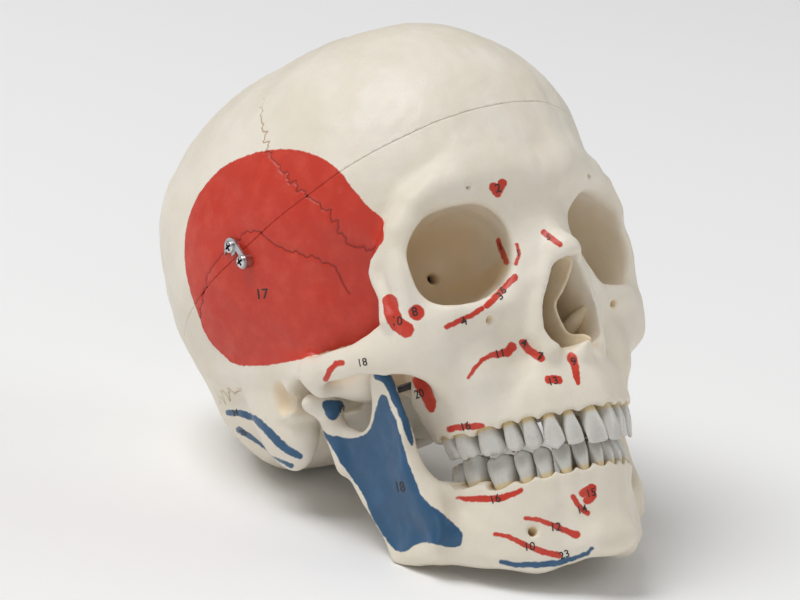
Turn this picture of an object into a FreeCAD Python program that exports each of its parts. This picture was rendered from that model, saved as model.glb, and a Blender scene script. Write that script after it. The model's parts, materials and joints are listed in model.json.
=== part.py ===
"""Anatomical skull model in three main mouldings (skullcap, skull base with face, lower jaw), with
individually set teeth, side latches for the cap and a spring-hung jaw. Millimetres.

Everything is shaped in the anatomical frame: X to the skull's left, Y to the back, Z up, origin midway
between the ear openings, the eye-ear plane level. place() then tilts it back to how it rests on a table.
"""
import FreeCAD
import Part
import math
import os

V = FreeCAD.Vector

# ---- driving dimensions -------------------------------------------------------------------------
REST_TILT = 33.2            # degrees the eye-ear plane leans back when the skull stands by itself
WALL = 5.5                  # thickness of the braincase wall
CUT_HEIGHT = 41.1           # height of the saw cut above the origin
CUT_SLOPE = 0.279           # drop of the saw cut per mm towards the back
SAW_GAP = 0.3               # width of the joint line between cap and base

JAW_AXIS_Y, JAW_AXIS_Z = -12.0, -13.0       # centre of the condyles
CONDYLE_X, CONDYLE_R, CONDYLE_HALF = 51.0, 4.6, 9.0
FOSSA_CLEARANCE = 0.7

OCCLUSAL_Z, OCCLUSAL_SLOPE, INCISOR_Y = -53.5, 0.15, -91.0
GUM_UP, GUM_DOWN = 9.0, 9.0                 # gum planes above and below the bite plane
TOOTH_SEAT = 0.05
ROOT_R, ROOT_LENGTH = 1.5, 6.0

LATCH_Y, LATCH_Z = -13.6, 40.4              # pivot screw of each latch
CATCH_Y, CATCH_Z = -9.4, 47.1               # catch screw, across the saw cut
SCREW_R, SCREW_HEAD_R, SCREW_HEAD_T, SCREW_DEPTH = 1.1, 2.1, 1.1, 4.5
WASHER_R, WASHER_T = 2.4, 1.9
HOOK_T, HOOK_EYE_R, HOOK_TIP_R, HOOK_ARM_W = 0.9, 2.6, 3.2, 2.0
HOOK_PLAY = 0.05                            # radial clearance of the eye on its screw
HOOK_SLOT_PLAY = 0.3
PLATE_GAP = 0.1                             # axial play of the hook between washers and head

PIN_R, PIN_DEPTH, PIN_PROUD, PIN_PLAY = 1.2, 6.0, 3.5, 0.1
REAR_PIN_X = 34.0

SPRING_R, SPRING_WIRE = 1.2, 0.35
JAW_PEG = (-47.2, -41.0, -18.0)             # where the jaw spring is screwed to the coronoid process
SKULL_PEG = (-22.4, -42.0, -15.0)           # and to the pterygoid plate
PEG_R, PEG_HEAD_R, PEG_HEAD_T = 0.8, 1.6, 0.8
PEG_PROUD, PEG_LONG = 2.4, 4.0              # how far the head stands off the bone, and depth in it

ORBIT_CENTRE, ORBIT_RADII = (30.0, -74.0, 18.0), (19.0, 17.5, 36.0)
ORBIT_AXIS = (22.0, -42.0, -5.0)            # out of the left socket, forwards
ORBIT_ROOF = 3.5                            # bone between a socket and the braincase

# half-arch tooth widths from the middle to the back, and what each tooth is
UPPER_WIDTHS = (7.8, 6.1, 6.9, 6.4, 6.2, 9.2, 8.7, 7.7)
LOWER_WIDTHS = (4.9, 5.4, 6.4, 6.5, 6.6, 10.0, 9.5, 8.9)
UPPER_DEPTHS = (6.4, 6.0, 7.6, 8.6, 8.6, 10.4, 10.2, 9.4)
LOWER_DEPTHS = (5.4, 5.6, 7.0, 7.2, 7.6, 9.6, 9.4, 9.0)
UPPER_ARCH = (30.5, 34.0, -55.0)            # half width, depth and rear centre of the row of crowns
LOWER_ARCH = (26.0, 35.5, -50.0)


# ---- implicit shapes: negative inside ------------------------------------------------------------
def ellipsoid(p, centre, radii):
    a = [(p[i] - centre[i]) / radii[i] for i in range(3)]
    b = [a[i] / radii[i] for i in range(3)]
    near = math.sqrt(sum(t * t for t in a))
    slope = math.sqrt(sum(t * t for t in b))
    return near * (near - 1) / max(slope, 1e-9)


def capsule(p, start, end, r_start, r_end):
    along = [end[i] - start[i] for i in range(3)]
    away = [p[i] - start[i] for i in range(3)]
    t = sum(along[i] * away[i] for i in range(3)) / sum(c * c for c in along)
    t = min(1, max(0, t))
    gap = math.sqrt(sum((away[i] - along[i] * t) ** 2 for i in range(3)))
    return gap - (r_start + (r_end - r_start) * t)


def blend(a, b, k):
    h = max(k - abs(a - b), 0) / k
    return min(a, b) - h * h * k / 4


def carve(a, b, k):
    """a with b taken away, rounded by k."""
    return -blend(-a, b, k)


def smooth_step(t):
    t = min(1, max(0, t))
    return t * t * (3 - 2 * t)


def braincase(p):
    """The outer surface of the neurocranium."""
    p = (abs(p[0]), p[1], p[2])
    d = ellipsoid(p, (0, 6, 46), (71, 84, 70.5))
    d = blend(d, ellipsoid(p, (0, -34, 52), (57, 60, 60)), 18)
    d = blend(d, ellipsoid(p, (0, 42, 18), (46, 40, 40)), 14)
    d = blend(d, ellipsoid(p, (36, -16, 8), (22, 30, 23)), 12)
    d = blend(d, ellipsoid(p, (27, 36, -3), (26, 28, 21)), 12)
    return blend(d, ellipsoid(p, (0, 5, -6), (30, 42, 17)), 14)


def orbit_hollow(p):
    """The eye sockets, as one ellipsoid each, leaning in towards the back."""
    x, y, z = abs(p[0]) - ORBIT_CENTRE[0], p[1] - ORBIT_CENTRE[1], p[2] - ORBIT_CENTRE[2]
    length = math.sqrt(sum(c * c for c in ORBIT_AXIS))
    ax, ay, az = [c / length for c in ORBIT_AXIS]
    along = x * ax + y * ay + z * az
    flat = math.hypot(ax, ay)
    across = (x * ay - y * ax) / flat
    up = (z - along * az) / flat
    return ellipsoid((across, up, along), (0, 0, 0), ORBIT_RADII)


def cavity(p):
    """The space inside the braincase, with its three stepped floors."""
    front = smooth_step((-p[1] - 34) / 14)
    back = smooth_step((p[1] - 10) / 20)
    floor = 2 + 31 * front - 16 * back
    d = carve(braincase(p) + WALL, p[2] - floor, 6)
    return carve(d, orbit_hollow(p) - ORBIT_ROOF, 6)


def face(p):
    """The facial skeleton before its openings are cut."""
    p = (abs(p[0]), p[1], p[2])
    d = ellipsoid(p, (0, -64, -16), (27, 25, 27))
    d = blend(d, ellipsoid(p, (0, -63, -38), (36, 30.5, 16)), 10)
    d = blend(d, ellipsoid(p, (41, -65, -6), (13, 11, 14)), 12)
    d = blend(d, capsule(p, (48, -69, 24), (49, -65, 0), 4.5, 6.5), 8)
    return blend(d, ellipsoid(p, (28, -62, 18), (26, 20, 22)), 8)


# ---- smooth closed surfaces -----------------------------------------------------------------------
def reach(shape, centre, direction, limit):
    """Distance from centre to the surface of an implicit shape along a direction."""
    low, high = 0.0, limit
    for _ in range(22):
        mid = (low + high) / 2
        if shape([centre[i] + direction[i] * mid for i in range(3)]) > 0:
            high = mid
        else:
            low = mid
    return low


def smooth_solid(shape, centre, around=28, levels=17, limit=150, passes=6):
    """A solid bounded by one bicubic surface, fitted to an implicit shape seen from its centre.

    Each pass pulls the surface closer to the shape. A few passes leave it smoother than the shape is.
    """
    targets = []
    for j in range(levels):
        lat = -math.pi / 2 + math.pi * j / (levels - 1)
        row = []
        for i in range(around):
            lon = 2 * math.pi * i / around + math.pi / 2
            way = (math.cos(lat) * math.cos(lon), math.cos(lat) * math.sin(lon), math.sin(lat))
            if j in (0, levels - 1):
                way = (0, 0, math.copysign(1, lat))
            r = reach(shape, centre, way, limit)
            row.append(V(*[centre[k] + way[k] * r for k in range(3)]))
        targets.append(row)
    poles = [[V(targets[j][i]) for j in range(levels)] for i in range(around)]
    spans = levels - 3
    inner = [0] * 4 + list(range(1, spans)) + [spans] * 4
    heights = [sum(inner[j + 1:j + 4]) / 3 for j in range(levels)]
    surface = Part.BSplineSurface()
    for _ in range(passes):
        surface.buildFromPolesMultsKnots(
            poles, [1] * (around + 1), [4] + [1] * (spans - 1) + [4],
            list(range(around + 1)), list(range(spans + 1)), True, False, 3, 3)
        for i in range(around):
            for j in range(1, levels - 1):
                poles[i][j] = poles[i][j] + targets[j][i] - surface.value(i - 1, heights[j])
    solid = Part.Solid(Part.Shell([surface.toShape()]))
    if solid.Volume < 0:
        solid.reverse()
    return solid


def oval(centre, radii, axis=(0, 0, 1)):
    """An ellipsoid whose third radius lies along an axis and whose first stays level."""
    matrix = FreeCAD.Matrix()
    matrix.scale(*radii)
    ball = Part.makeSphere(1).transformGeometry(matrix)
    forward = V(*axis)
    turn = FreeCAD.Rotation(V(forward.y, -forward.x, 0), V(), forward, "ZXY")
    if forward.x == 0 and forward.y == 0:
        turn = FreeCAD.Rotation()
    ball.Placement = FreeCAD.Placement(V(*centre), turn)
    return ball


def mirrored(shape):
    return shape.mirror(V(0, 0, 0), V(1, 0, 0))


def both_sides(make):
    """{'right': ..., 'left': ...} from a shape made on the right, which is negative X."""
    right = make()
    return {"right": right, "left": mirrored(right)}


def rod(start, end, radius):
    way = V(*end) - V(*start)
    return Part.makeCylinder(radius, way.Length, V(*start), way)


def tube_through(points, across, up):
    """A loft of ovals standing square to a run of points. across and up are lists of radii."""
    overall = V(*points[-1]) - V(*points[0])
    upright = abs(overall.z) > 0.8 * overall.Length
    level = V(0, 1, 0) if upright else V(0, 0, 1)
    rings = []
    for i, point in enumerate(points):
        before, after = points[max(i - 1, 0)], points[min(i + 1, len(points) - 1)]
        way = V(*after) - V(*before)
        side = level.cross(way)
        side.normalize()
        lift = way.cross(side)
        lift.normalize()
        ring = []
        for k in range(12):
            a = math.pi * k / 6
            ring.append(V(*point) + side * (across[i] * math.cos(a)) + lift * (up[i] * math.sin(a)))
        curve = Part.BSplineCurve()
        curve.interpolate(ring, True)
        rings.append(Part.Wire([curve.toShape()]))
    return Part.makeLoft(rings, True, False)


# ---- planes ----------------------------------------------------------------------------------------
def cut_normal():
    n = V(0, CUT_SLOPE, 1)
    n.normalize()
    return n


def slab(height, slope, thick):
    """A wide block from the plane z = height + slope * y upwards, or downwards for negative thick."""
    normal = V(0, -slope, 1)
    normal.normalize()
    size = 400
    block = Part.makeBox(size, size, abs(thick), V(-size / 2, -size / 2, 0 if thick > 0 else thick))
    block.Placement = FreeCAD.Placement(V(0, 0, height), FreeCAD.Rotation(V(0, 0, 1), normal))
    return block


def gum_plane(upper):
    shift = GUM_UP if upper else -GUM_DOWN
    return OCCLUSAL_Z - OCCLUSAL_SLOPE * INCISOR_Y + shift


# ---- braincase -------------------------------------------------------------------------------------
def wall_point(x, toward):
    """The middle of the wall in the saw plane, at x, on the front (-1) or the back (1)."""
    def along(p):
        y = p[1]
        return braincase((x, y, CUT_HEIGHT - CUT_SLOPE * y))
    y = toward * reach(along, (x, 0, 0), (0, toward, 0), 150) - toward * WALL * 0.5
    return V(x, y, CUT_HEIGHT - CUT_SLOPE * y)


def locating_pins():
    n = cut_normal()
    spots = {"front": [wall_point(0, -1)], "rear": [wall_point(s * REAR_PIN_X, 1) for s in (-1, 1)]}
    pins, holes = {}, []
    for name, places in spots.items():
        solids = []
        for at in places:
            foot, tip = at - n * PIN_DEPTH, at + n * PIN_PROUD
            solids.append(rod(foot, tip, PIN_R))
            holes.append(rod(at - n, tip + n * 0.5, PIN_R + PIN_PLAY))
        pins[name] = solids
    return pins, holes


def seat_x(y, z):
    """How far out the braincase stands at a latch screw."""
    return reach(braincase, (0, y, z), (1, 0, 0), 120)


def latch_levels():
    """Distances from the middle plane: seat, washer top, hook underside and top, screw head base."""
    seat = min(seat_x(LATCH_Y, LATCH_Z), seat_x(CATCH_Y, CATCH_Z)) - 0.4
    washer = seat + WASHER_T
    return seat, washer, washer + PLATE_GAP, washer + PLATE_GAP + HOOK_T, washer + HOOK_T + 2 * PLATE_GAP


def latch_screw(y, z):
    seat, _, _, _, head = latch_levels()
    shank = rod((-(seat - SCREW_DEPTH), y, z), (-head, y, z), SCREW_R)
    cap = rod((-head, y, z), (-(head + SCREW_HEAD_T), y, z), SCREW_HEAD_R)
    cap = cap.makeFillet(0.4, [e for e in cap.Edges if e.BoundBox.XMax < -(head + SCREW_HEAD_T / 2)])
    top = -(head + SCREW_HEAD_T)
    for turn in (45, 135):
        blade = Part.makeBox(0.8, 0.5, 2.4, V(top - 0.1, -0.25, -1.2))
        blade.Placement = FreeCAD.Placement(V(0, y, z), FreeCAD.Rotation(V(1, 0, 0), turn))
        cap = cap.cut(blade)
    return shank.fuse(cap).removeSplitter()


def washers(y, z):
    """A stack of two washers under a latch screw, as two separate solids."""
    seat = latch_levels()[0]
    stack = []
    for k in (0, 1):
        low, high = seat + k * WASHER_T / 2, seat + (k + 1) * WASHER_T / 2
        ring = rod((-low, y, z), (-high, y, z), WASHER_R)
        stack.append(ring.cut(rod((-low + 1, y, z), (-high - 1, y, z), SCREW_R + 0.02)))
    return Part.makeCompound(stack)


def latch_hook():
    _, _, under, top, _ = latch_levels()

    def disc(y, z, r):
        return rod((-under, y, z), (-top, y, z), r)
    arm_way = V(0, CATCH_Y - LATCH_Y, CATCH_Z - LATCH_Z)
    arm_way.normalize()
    back = V(0, arm_way.z, -arm_way.y)               # the way the mouth of the hook faces
    pivot, catch = V(-top, LATCH_Y, LATCH_Z), V(-top, CATCH_Y, CATCH_Z)
    front = back * -1

    def plate(corners):
        wire = Part.makePolygon([*corners, corners[0]])
        return Part.Face(wire).extrude(V(HOOK_T, 0, 0))
    half = HOOK_ARM_W / 2
    offset = HOOK_TIP_R - half
    body = disc(LATCH_Y, LATCH_Z, HOOK_EYE_R).fuse(disc(CATCH_Y, CATCH_Z, HOOK_TIP_R))
    body = body.fuse(plate([pivot + front * half * 0.4, pivot + front * half * 2.4,
                            catch + front * (offset + half), catch + front * (offset - half)]))
    tip = catch + back * (HOOK_TIP_R + 1.4) + arm_way * 0.9
    body = body.fuse(plate([catch + arm_way * HOOK_TIP_R + back * 0.4, tip,
                            catch + back * 1.0 + arm_way * 0.9]))
    slot_r = SCREW_R + HOOK_SLOT_PLAY
    body = body.cut(rod(catch + V(-1, 0, 0), catch + V(HOOK_T + 1, 0, 0), slot_r))
    mouth = 6
    slot = [catch + arm_way * slot_r, catch + arm_way * (slot_r - 1.4) + back * mouth,
            catch - arm_way * 4 + back * mouth, catch - arm_way * slot_r]
    slot_wire = Part.makePolygon([*[s + V(-1, 0, 0) for s in slot], slot[0] + V(-1, 0, 0)])
    body = body.cut(Part.Face(slot_wire).extrude(V(HOOK_T + 2, 0, 0)))
    eye = rod(pivot + V(-1, 0, 0), pivot + V(HOOK_T + 1, 0, 0), SCREW_R + HOOK_PLAY)
    return body.cut(eye).removeSplitter()


def latch_cuts(y, z):
    """The spot face and screw hole that one latch screw needs, on the right."""
    seat = latch_levels()[0]
    face_cut = rod((-seat, y, z), (-(seat + 6), y, z), WASHER_R + 0.3)
    hole = rod((-(seat - SCREW_DEPTH), y, z), (-(seat + 1), y, z), SCREW_R)
    return [face_cut, hole]


# ---- teeth -----------------------------------------------------------------------------------------
def arch_places(widths, arch):
    """(x, y, outward direction) of each crown of one half row, spaced by the widths."""
    half, depth, rear = arch

    def at(s):
        if s <= math.pi / 2:
            return half * math.sin(s), rear - depth * math.cos(s)
        return half - 0.2 * (s - math.pi / 2) * half, rear + (s - math.pi / 2) * half
    edges, run, s, last = [0.0], 0.0, 0.0, at(0)
    goal = widths[0]
    sizes = list(widths)
    while sizes:
        s += 0.002
        now = at(s)
        run += math.dist(now, last)
        last = now
        if run >= goal:
            edges.append(s)
            sizes.pop(0)
            goal += sizes[0] if sizes else 0
    places = []
    for a, b in zip(edges, edges[1:]):
        mid = (a + b) / 2
        x, y = at(mid)
        x1, y1 = at(mid - 0.01)
        x2, y2 = at(mid + 0.01)
        length = math.dist((x1, y1), (x2, y2))
        places.append((x, y, ((y2 - y1) / length, -(x2 - x1) / length)))
    return places


def tooth(kind, width, depth, x, y, out, upper):
    """One crown with its root peg, on the right side. kind counts from 0, the middle incisor."""
    rise = (9.6, 8.8, 9.8, 8.0, 7.4, 7.0, 6.6, 6.2)[kind] if upper else (
        10.2, 10.0, 10.6, 8.6, 8.0, 7.4, 7.2, 6.8)[kind]
    thin = (0.62, 0.62, 0.5, 0.3, 0.25, 0.15, 0.15, 0.15)[kind]
    sign = -1 if upper else 1
    gum = gum_plane(upper) + OCCLUSAL_SLOPE * y
    below = 2.5                                       # how far the crown's surface runs on past the gum
    tall = rise + below
    middle = (-x, y, gum + sign * (rise - below) / 2)
    outward = (-out[0], out[1])

    def crown(p):
        dx, dy = p[0] - middle[0], p[1] - middle[1]
        b = dx * outward[0] + dy * outward[1]
        m = dx * outward[1] - dy * outward[0]
        h = sign * (p[2] - middle[2]) / (tall / 2)    # -1 at the neck end, 1 at the biting edge
        grow = (h + 1) / 2
        half_m = (width / 2 - TOOTH_SEAT) * (0.84 + 0.16 * smooth_step(grow * 1.4))
        half_b = depth / 2 * (1 - thin * grow * grow)
        shift = depth / 2 * thin * 0.35 * grow
        power = 3.0 if kind < 3 else 3.6
        return (abs(m / half_m) ** power + abs((b - shift) / half_b) ** 2.4 + abs(h) ** 4.5) - 1
    solid = smooth_solid(crown, middle, around=14, levels=9, limit=12)
    solid = solid.common(slab(gum_plane(upper), OCCLUSAL_SLOPE, -30 if upper else 30))
    peg = Part.makeCone(ROOT_R, ROOT_R * 0.6, ROOT_LENGTH + 1,
                        V(-x, y, gum + sign * 1.0), V(0, 0, -sign))
    return solid.fuse(peg), peg


# ---- the lower jaw ---------------------------------------------------------------------------------
def jaw_body():
    """The horseshoe of the jaw, lofted round the arch from one side to the other."""
    # each ring: gum end x, y; lower border x, y, z; half thickness
    half = [(29, -34, 44, -28, -76.5, 5.0), (28, -46, 40.5, -42, -80, 5.8), (25.5, -58, 33, -55, -87, 6.0),
            (19, -72, 20.5, -67.5, -92, 6.0), (10.5, -80, 10, -75, -94.5, 6.0)]
    middle = [(0, -83, 0, -78, -95.5, 6.2)]
    full = half + middle + [(-row[0], row[1], -row[2], *row[3:]) for row in reversed(half)]
    rings = []
    for i, (x_top, y_top, x_low, y_low, low, thick) in enumerate(full):
        before, after = full[max(i - 1, 0)], full[min(i + 1, len(full) - 1)]
        way = V(after[2] - before[2], after[3] - before[3], 0)
        way.normalize()
        side = V(way.y, -way.x, 0)
        top = gum_plane(False) + OCCLUSAL_SLOPE * y_top + 3
        upper_end, lower_end = V(x_top, y_top, top), V(x_low, y_low, low)
        points = []
        for k in range(12):
            c, s = math.cos(math.pi * k / 6), math.sin(math.pi * k / 6)
            across = math.copysign(abs(c) ** 0.6, c) * thick
            up = (math.copysign(abs(s) ** 0.7, s) + 1) / 2
            points.append(lower_end + (upper_end - lower_end) * up + side * across)
        curve = Part.BSplineCurve()
        curve.interpolate(points, True)
        rings.append(Part.Wire([curve.toShape()]))
    loft = Part.makeLoft(rings, True, False)
    return loft.cut(slab(gum_plane(False), OCCLUSAL_SLOPE, 40))


def ramus():
    """The upright plate on the right: condyle neck, notch and coronoid process."""
    outline = [(-15, -16), (-19, -22), (-26, -27), (-33, -25), (-38, -17), (-41.5, -14), (-44, -19),
               (-43.5, -34), (-46.5, -50), (-49, -62), (-44, -78), (-33, -77.5), (-24, -74), (-19.5, -61),
               (-13.5, -42), (-9.5, -30), (-8.5, -18)]
    points = [V(0, y, z) for y, z in outline]
    curve = Part.BSplineCurve()
    curve.interpolate(points, True)
    plate = Part.Face(Part.Wire([curve.toShape()])).extrude(V(6, 0, 0))
    lean = -math.degrees(math.atan2(6.0, 60.0))
    plate.Placement = FreeCAD.Placement(V(-53.5, 0, 0), FreeCAD.Rotation(V(0, 1, 0), lean), V(0, 0, -15))
    head = oval((-CONDYLE_X, JAW_AXIS_Y, JAW_AXIS_Z), (CONDYLE_R, CONDYLE_R, CONDYLE_HALF), (1, 0, 0))
    neck = tube_through([(-50.5, -12.5, -14), (-50, -13, -22), (-49, -14, -32)], [5.5, 3.6, 3.2],
                        [4, 3.6, 3.2])
    return plate.fuse(neck).fuse(head)


# ---- jaw springs -----------------------------------------------------------------------------------
def spring_screw(at, inward):
    """A pan-headed screw whose head stands clear of the bone. inward is 1 or -1 along X, into it."""
    x, y, z = at
    tip, neck = x + inward * PEG_LONG, x - inward * (PEG_PROUD - PEG_HEAD_T)
    head = rod((neck, y, z), (neck - inward * PEG_HEAD_T, y, z), PEG_HEAD_R)
    return rod((tip, y, z), (neck, y, z), PEG_R).fuse(head).removeSplitter()


def jaw_spring():
    """The sleeve that a close-wound extension spring fills, between the heads of its two screws."""
    clear = 0.3
    start = V(*JAW_PEG) + V(PEG_PROUD + clear, 0, 0)
    end = V(*SKULL_PEG) - V(PEG_PROUD + clear, 0, 0)
    way = (end - start).normalize()
    return rod(start, end, SPRING_R).cut(rod(start - way, end + way, SPRING_R - SPRING_WIRE))


# ---- assembly --------------------------------------------------------------------------------------
def orbit():
    return oval((-ORBIT_CENTRE[0], *ORBIT_CENTRE[1:]), ORBIT_RADII, (-ORBIT_AXIS[0], *ORBIT_AXIS[1:]))


def build():
    nodes = {}
    outer = smooth_solid(braincase, (0, 0, 45), around=32, levels=21)
    inner = smooth_solid(cavity, (0, 8, 52), around=32, levels=21)
    above, below = slab(CUT_HEIGHT, -CUT_SLOPE, 200), slab(CUT_HEIGHT - SAW_GAP, -CUT_SLOPE, -200)
    pins, pin_holes = locating_pins()
    fossa = both_sides(lambda: rod((-CONDYLE_X + CONDYLE_HALF + 3, JAW_AXIS_Y, JAW_AXIS_Z),
                                   (-CONDYLE_X - CONDYLE_HALF - 6, JAW_AXIS_Y, JAW_AXIS_Z),
                                   CONDYLE_R + FOSSA_CLEARANCE))
    orbits = both_sides(orbit)

    # skullcap
    pivot_cuts, catch_cuts = latch_cuts(LATCH_Y, LATCH_Z), latch_cuts(CATCH_Y, CATCH_Z)
    cap = outer.cut(inner).common(above)
    cap = cap.cut([*catch_cuts, *[mirrored(c) for c in catch_cuts], *pin_holes,
                   *[mirrored(c) for c in pivot_cuts[:1]], pivot_cuts[0]])
    nodes["calvaria"] = cap

    # lower braincase with mastoids, ear openings, joint sockets and the opening for the spine
    base = outer.cut(inner).common(below)
    mastoid = both_sides(lambda: oval((-51.5, 10.5, -13), (10, 13, 19)))
    base = base.fuse([mastoid["right"], mastoid["left"]])
    magnum = oval((0, 15, -30), (14.5, 17.5, 40))
    ears = [rod((-75, -1, -6), (-46, 3, -7), 3.5), rod((75, -1, -6), (46, 3, -7), 3.5)]
    pin_solids = [s for group in pins.values() for s in group]
    base = base.cut([magnum, *ears, fossa["right"], fossa["left"], *pin_solids])
    base = base.cut([*pivot_cuts, *[mirrored(c) for c in pivot_cuts],
                     catch_cuts[0], mirrored(catch_cuts[0])])

    # face
    front = smooth_solid(face, (0, -60, 4), around=36, levels=21, passes=2)
    arch = both_sides(lambda: tube_through(
        [(-45, -61, -6), (-55, -51, -4.5), (-61.5, -40, -4), (-62.5, -28, -4), (-60, -17, -3), (-56, -8, -1)],
        [3.5, 3.0, 2.4, 2.4, 3.4, 4.0], [9, 7, 5, 4.4, 4.5, 4]))
    plates = both_sides(lambda: tube_through([(-21, -40, 2), (-20, -43, -16), (-20, -47, -36)],
                                             [4, 2.6, 2.4], [8, 7, 6]))
    brow = both_sides(lambda: tube_through([(-20, -82, 41), (-34, -80, 41), (-45, -74, 35), (-49, -69.5, 25)],
                                           [5, 5, 4.5, 4.5], [5, 5, 5, 5]))
    bridge = tube_through([(0, -80, 36), (0, -85, 28), (0, -90, 18), (0, -93.5, 11)],
                          [9, 7.5, 7, 7.5], [5, 5, 4.5, 4])
    nose_side = both_sides(lambda: tube_through([(-6, -84, 26), (-10, -85, 12), (-14, -83.5, 0), (-16, -81, -10)],
                                                [4, 3.6, 3.6, 4], [5, 4.5, 4.5, 5]))
    front = front.fuse([*arch.values(), *plates.values(), *brow.values(), *nose_side.values(), bridge])
    front = front.cut(outer)
    nose = tube_through([(0, -112, -4), (0, -96, -5), (0, -80, -7), (0, -58, -11), (0, -30, -16)],
                        [11.5, 11.5, 12, 12, 12], [14, 14, 16, 14, 12])
    front = front.cut([orbits["right"], orbits["left"], nose, fossa["right"], fossa["left"]])
    front = front.common(slab(gum_plane(True), OCCLUSAL_SLOPE, 200))
    base = base.cut([orbits["right"], orbits["left"], nose])

    # teeth
    pegs = {True: [], False: []}
    for upper, widths, depths, arch_size in ((True, UPPER_WIDTHS, UPPER_DEPTHS, UPPER_ARCH),
                                             (False, LOWER_WIDTHS, LOWER_DEPTHS, LOWER_ARCH)):
        places = arch_places(widths, arch_size)
        row = "upper" if upper else "lower"
        for kind, ((x, y, out), width, depth) in enumerate(zip(places, widths, depths)):
            solid, peg = tooth(kind, width, depth, x, y, out, upper)
            nodes[f"tooth_{row}_right_{kind + 1}"] = solid
            nodes[f"tooth_{row}_left_{kind + 1}"] = mirrored(solid)
            pegs[upper] += [peg, mirrored(peg)]
    front = front.cut(pegs[True])

    # jaw
    side = both_sides(ramus)
    jaw = jaw_body().fuse([side["right"], side["left"]])
    jaw = jaw.cut(pegs[False])

    # jaw springs and their screws
    jaw_screw = both_sides(lambda: spring_screw(JAW_PEG, -1))
    skull_screw = both_sides(lambda: spring_screw(SKULL_PEG, 1))
    coil = both_sides(jaw_spring)
    jaw = jaw.cut([jaw_screw["right"], jaw_screw["left"]])
    front = front.cut([skull_screw["right"], skull_screw["left"]])

    # inserts in the nose, and the two needle-like processes below the ears
    septum = Part.makeBox(1.2, 46, 46, V(-0.6, -86, -30)).common(nose)
    septum = septum.cut(outer)
    concha = both_sides(lambda: tube_through([(-8, -80, -16), (-8.5, -66, -15), (-8, -50, -16)],
                                             [2, 2.6, 2], [3.6, 4.2, 3.6]).common(nose))
    styloid = both_sides(lambda: Part.makeCone(2.4, 0.5, 25, V(-37, 3, -15), V(0.06, -0.3, -1)))
    base = base.cut([styloid["right"], styloid["left"]])

    nodes["braincase_base"] = base
    nodes["facial_skeleton"] = front
    nodes["mandible"] = jaw
    nodes["nasal_septum"] = septum
    nodes["nasal_conchae"] = Part.makeCompound([concha["right"], concha["left"]])
    nodes["locating_pin_front"] = pins["front"][0]
    nodes["locating_pins_rear"] = Part.makeCompound(pins["rear"])
    parts = {
        "latch_pivot_screw": both_sides(lambda: latch_screw(LATCH_Y, LATCH_Z)),
        "latch_catch_screw": both_sides(lambda: latch_screw(CATCH_Y, CATCH_Z)),
        "latch_pivot_washers": both_sides(lambda: washers(LATCH_Y, LATCH_Z)),
        "latch_catch_washers": both_sides(lambda: washers(CATCH_Y, CATCH_Z)),
        "latch_hook": both_sides(latch_hook),
        "styloid_process": styloid,
        "jaw_spring": coil,
        "spring_screw_jaw": jaw_screw,
        "spring_screw_skull": skull_screw,
    }
    for name, sides in parts.items():
        for side_name, shape in sides.items():
            nodes[f"{name}_{side_name}"] = shape
    return nodes


def tilted(shape):
    """From the anatomical frame to the slope at which the skull rests on its jaw and the back of its head."""
    moved = shape.copy()
    turn = FreeCAD.Placement(V(), FreeCAD.Rotation(V(1, 0, 0), -REST_TILT))
    moved.Placement = turn.multiply(moved.Placement)
    return moved


def main():
    os.makedirs("parts", exist_ok=True)
    nodes = {name: tilted(shape) for name, shape in sorted(build().items())}
    box = FreeCAD.BoundBox()
    for name, shape in nodes.items():
        tight = shape.optimalBoundingBox(False, False)
        box.add(tight)
        if name in ("braincase_base", "mandible"):
            print(f"{name} reaches down to {tight.ZMin:.2f}")
    to_table = V(0, -(box.YMin + box.YMax) / 2, -box.ZMin)
    print(f"tilt {REST_TILT}, then shift {to_table.y:.2f} {to_table.z:.2f}")
    for name, shape in nodes.items():
        solids = shape.Solids
        if len(solids) > 1 and not name.endswith(("washers_right", "washers_left", "rear", "conchae")):
            print(f"{name}: {len(solids)} solids, {[round(s.Volume) for s in solids]}")
            solids = [max(solids, key=lambda s: s.Volume)]
        whole = solids[0] if len(solids) == 1 else Part.makeCompound(solids)
        if not whole.isValid():
            print(f"{name} is not valid")
        whole.translated(to_table).exportStep(f"parts/{name}.step")


if __name__ == "__main__":
    main()
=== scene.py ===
"""Looks of the anatomical skull model: sculpted bone, painted muscle areas, teeth, latches and springs.

Bone is sculpted as signed distance fields in the anatomical frame, in millimetres: X to the skull's left,
Y to the back, Z up, origin midway between the ear openings. TO_ROW takes that to the frame, in metres.
Both halves of the skull are alike, so fields are worked out for x >= 0 and mirrored.
"""
import json
import math

import bmesh
import bpy
import numpy as np
import openvdb
from mathutils import Matrix, Quaternion, Vector
from mathutils.bvhtree import BVHTree


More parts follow.
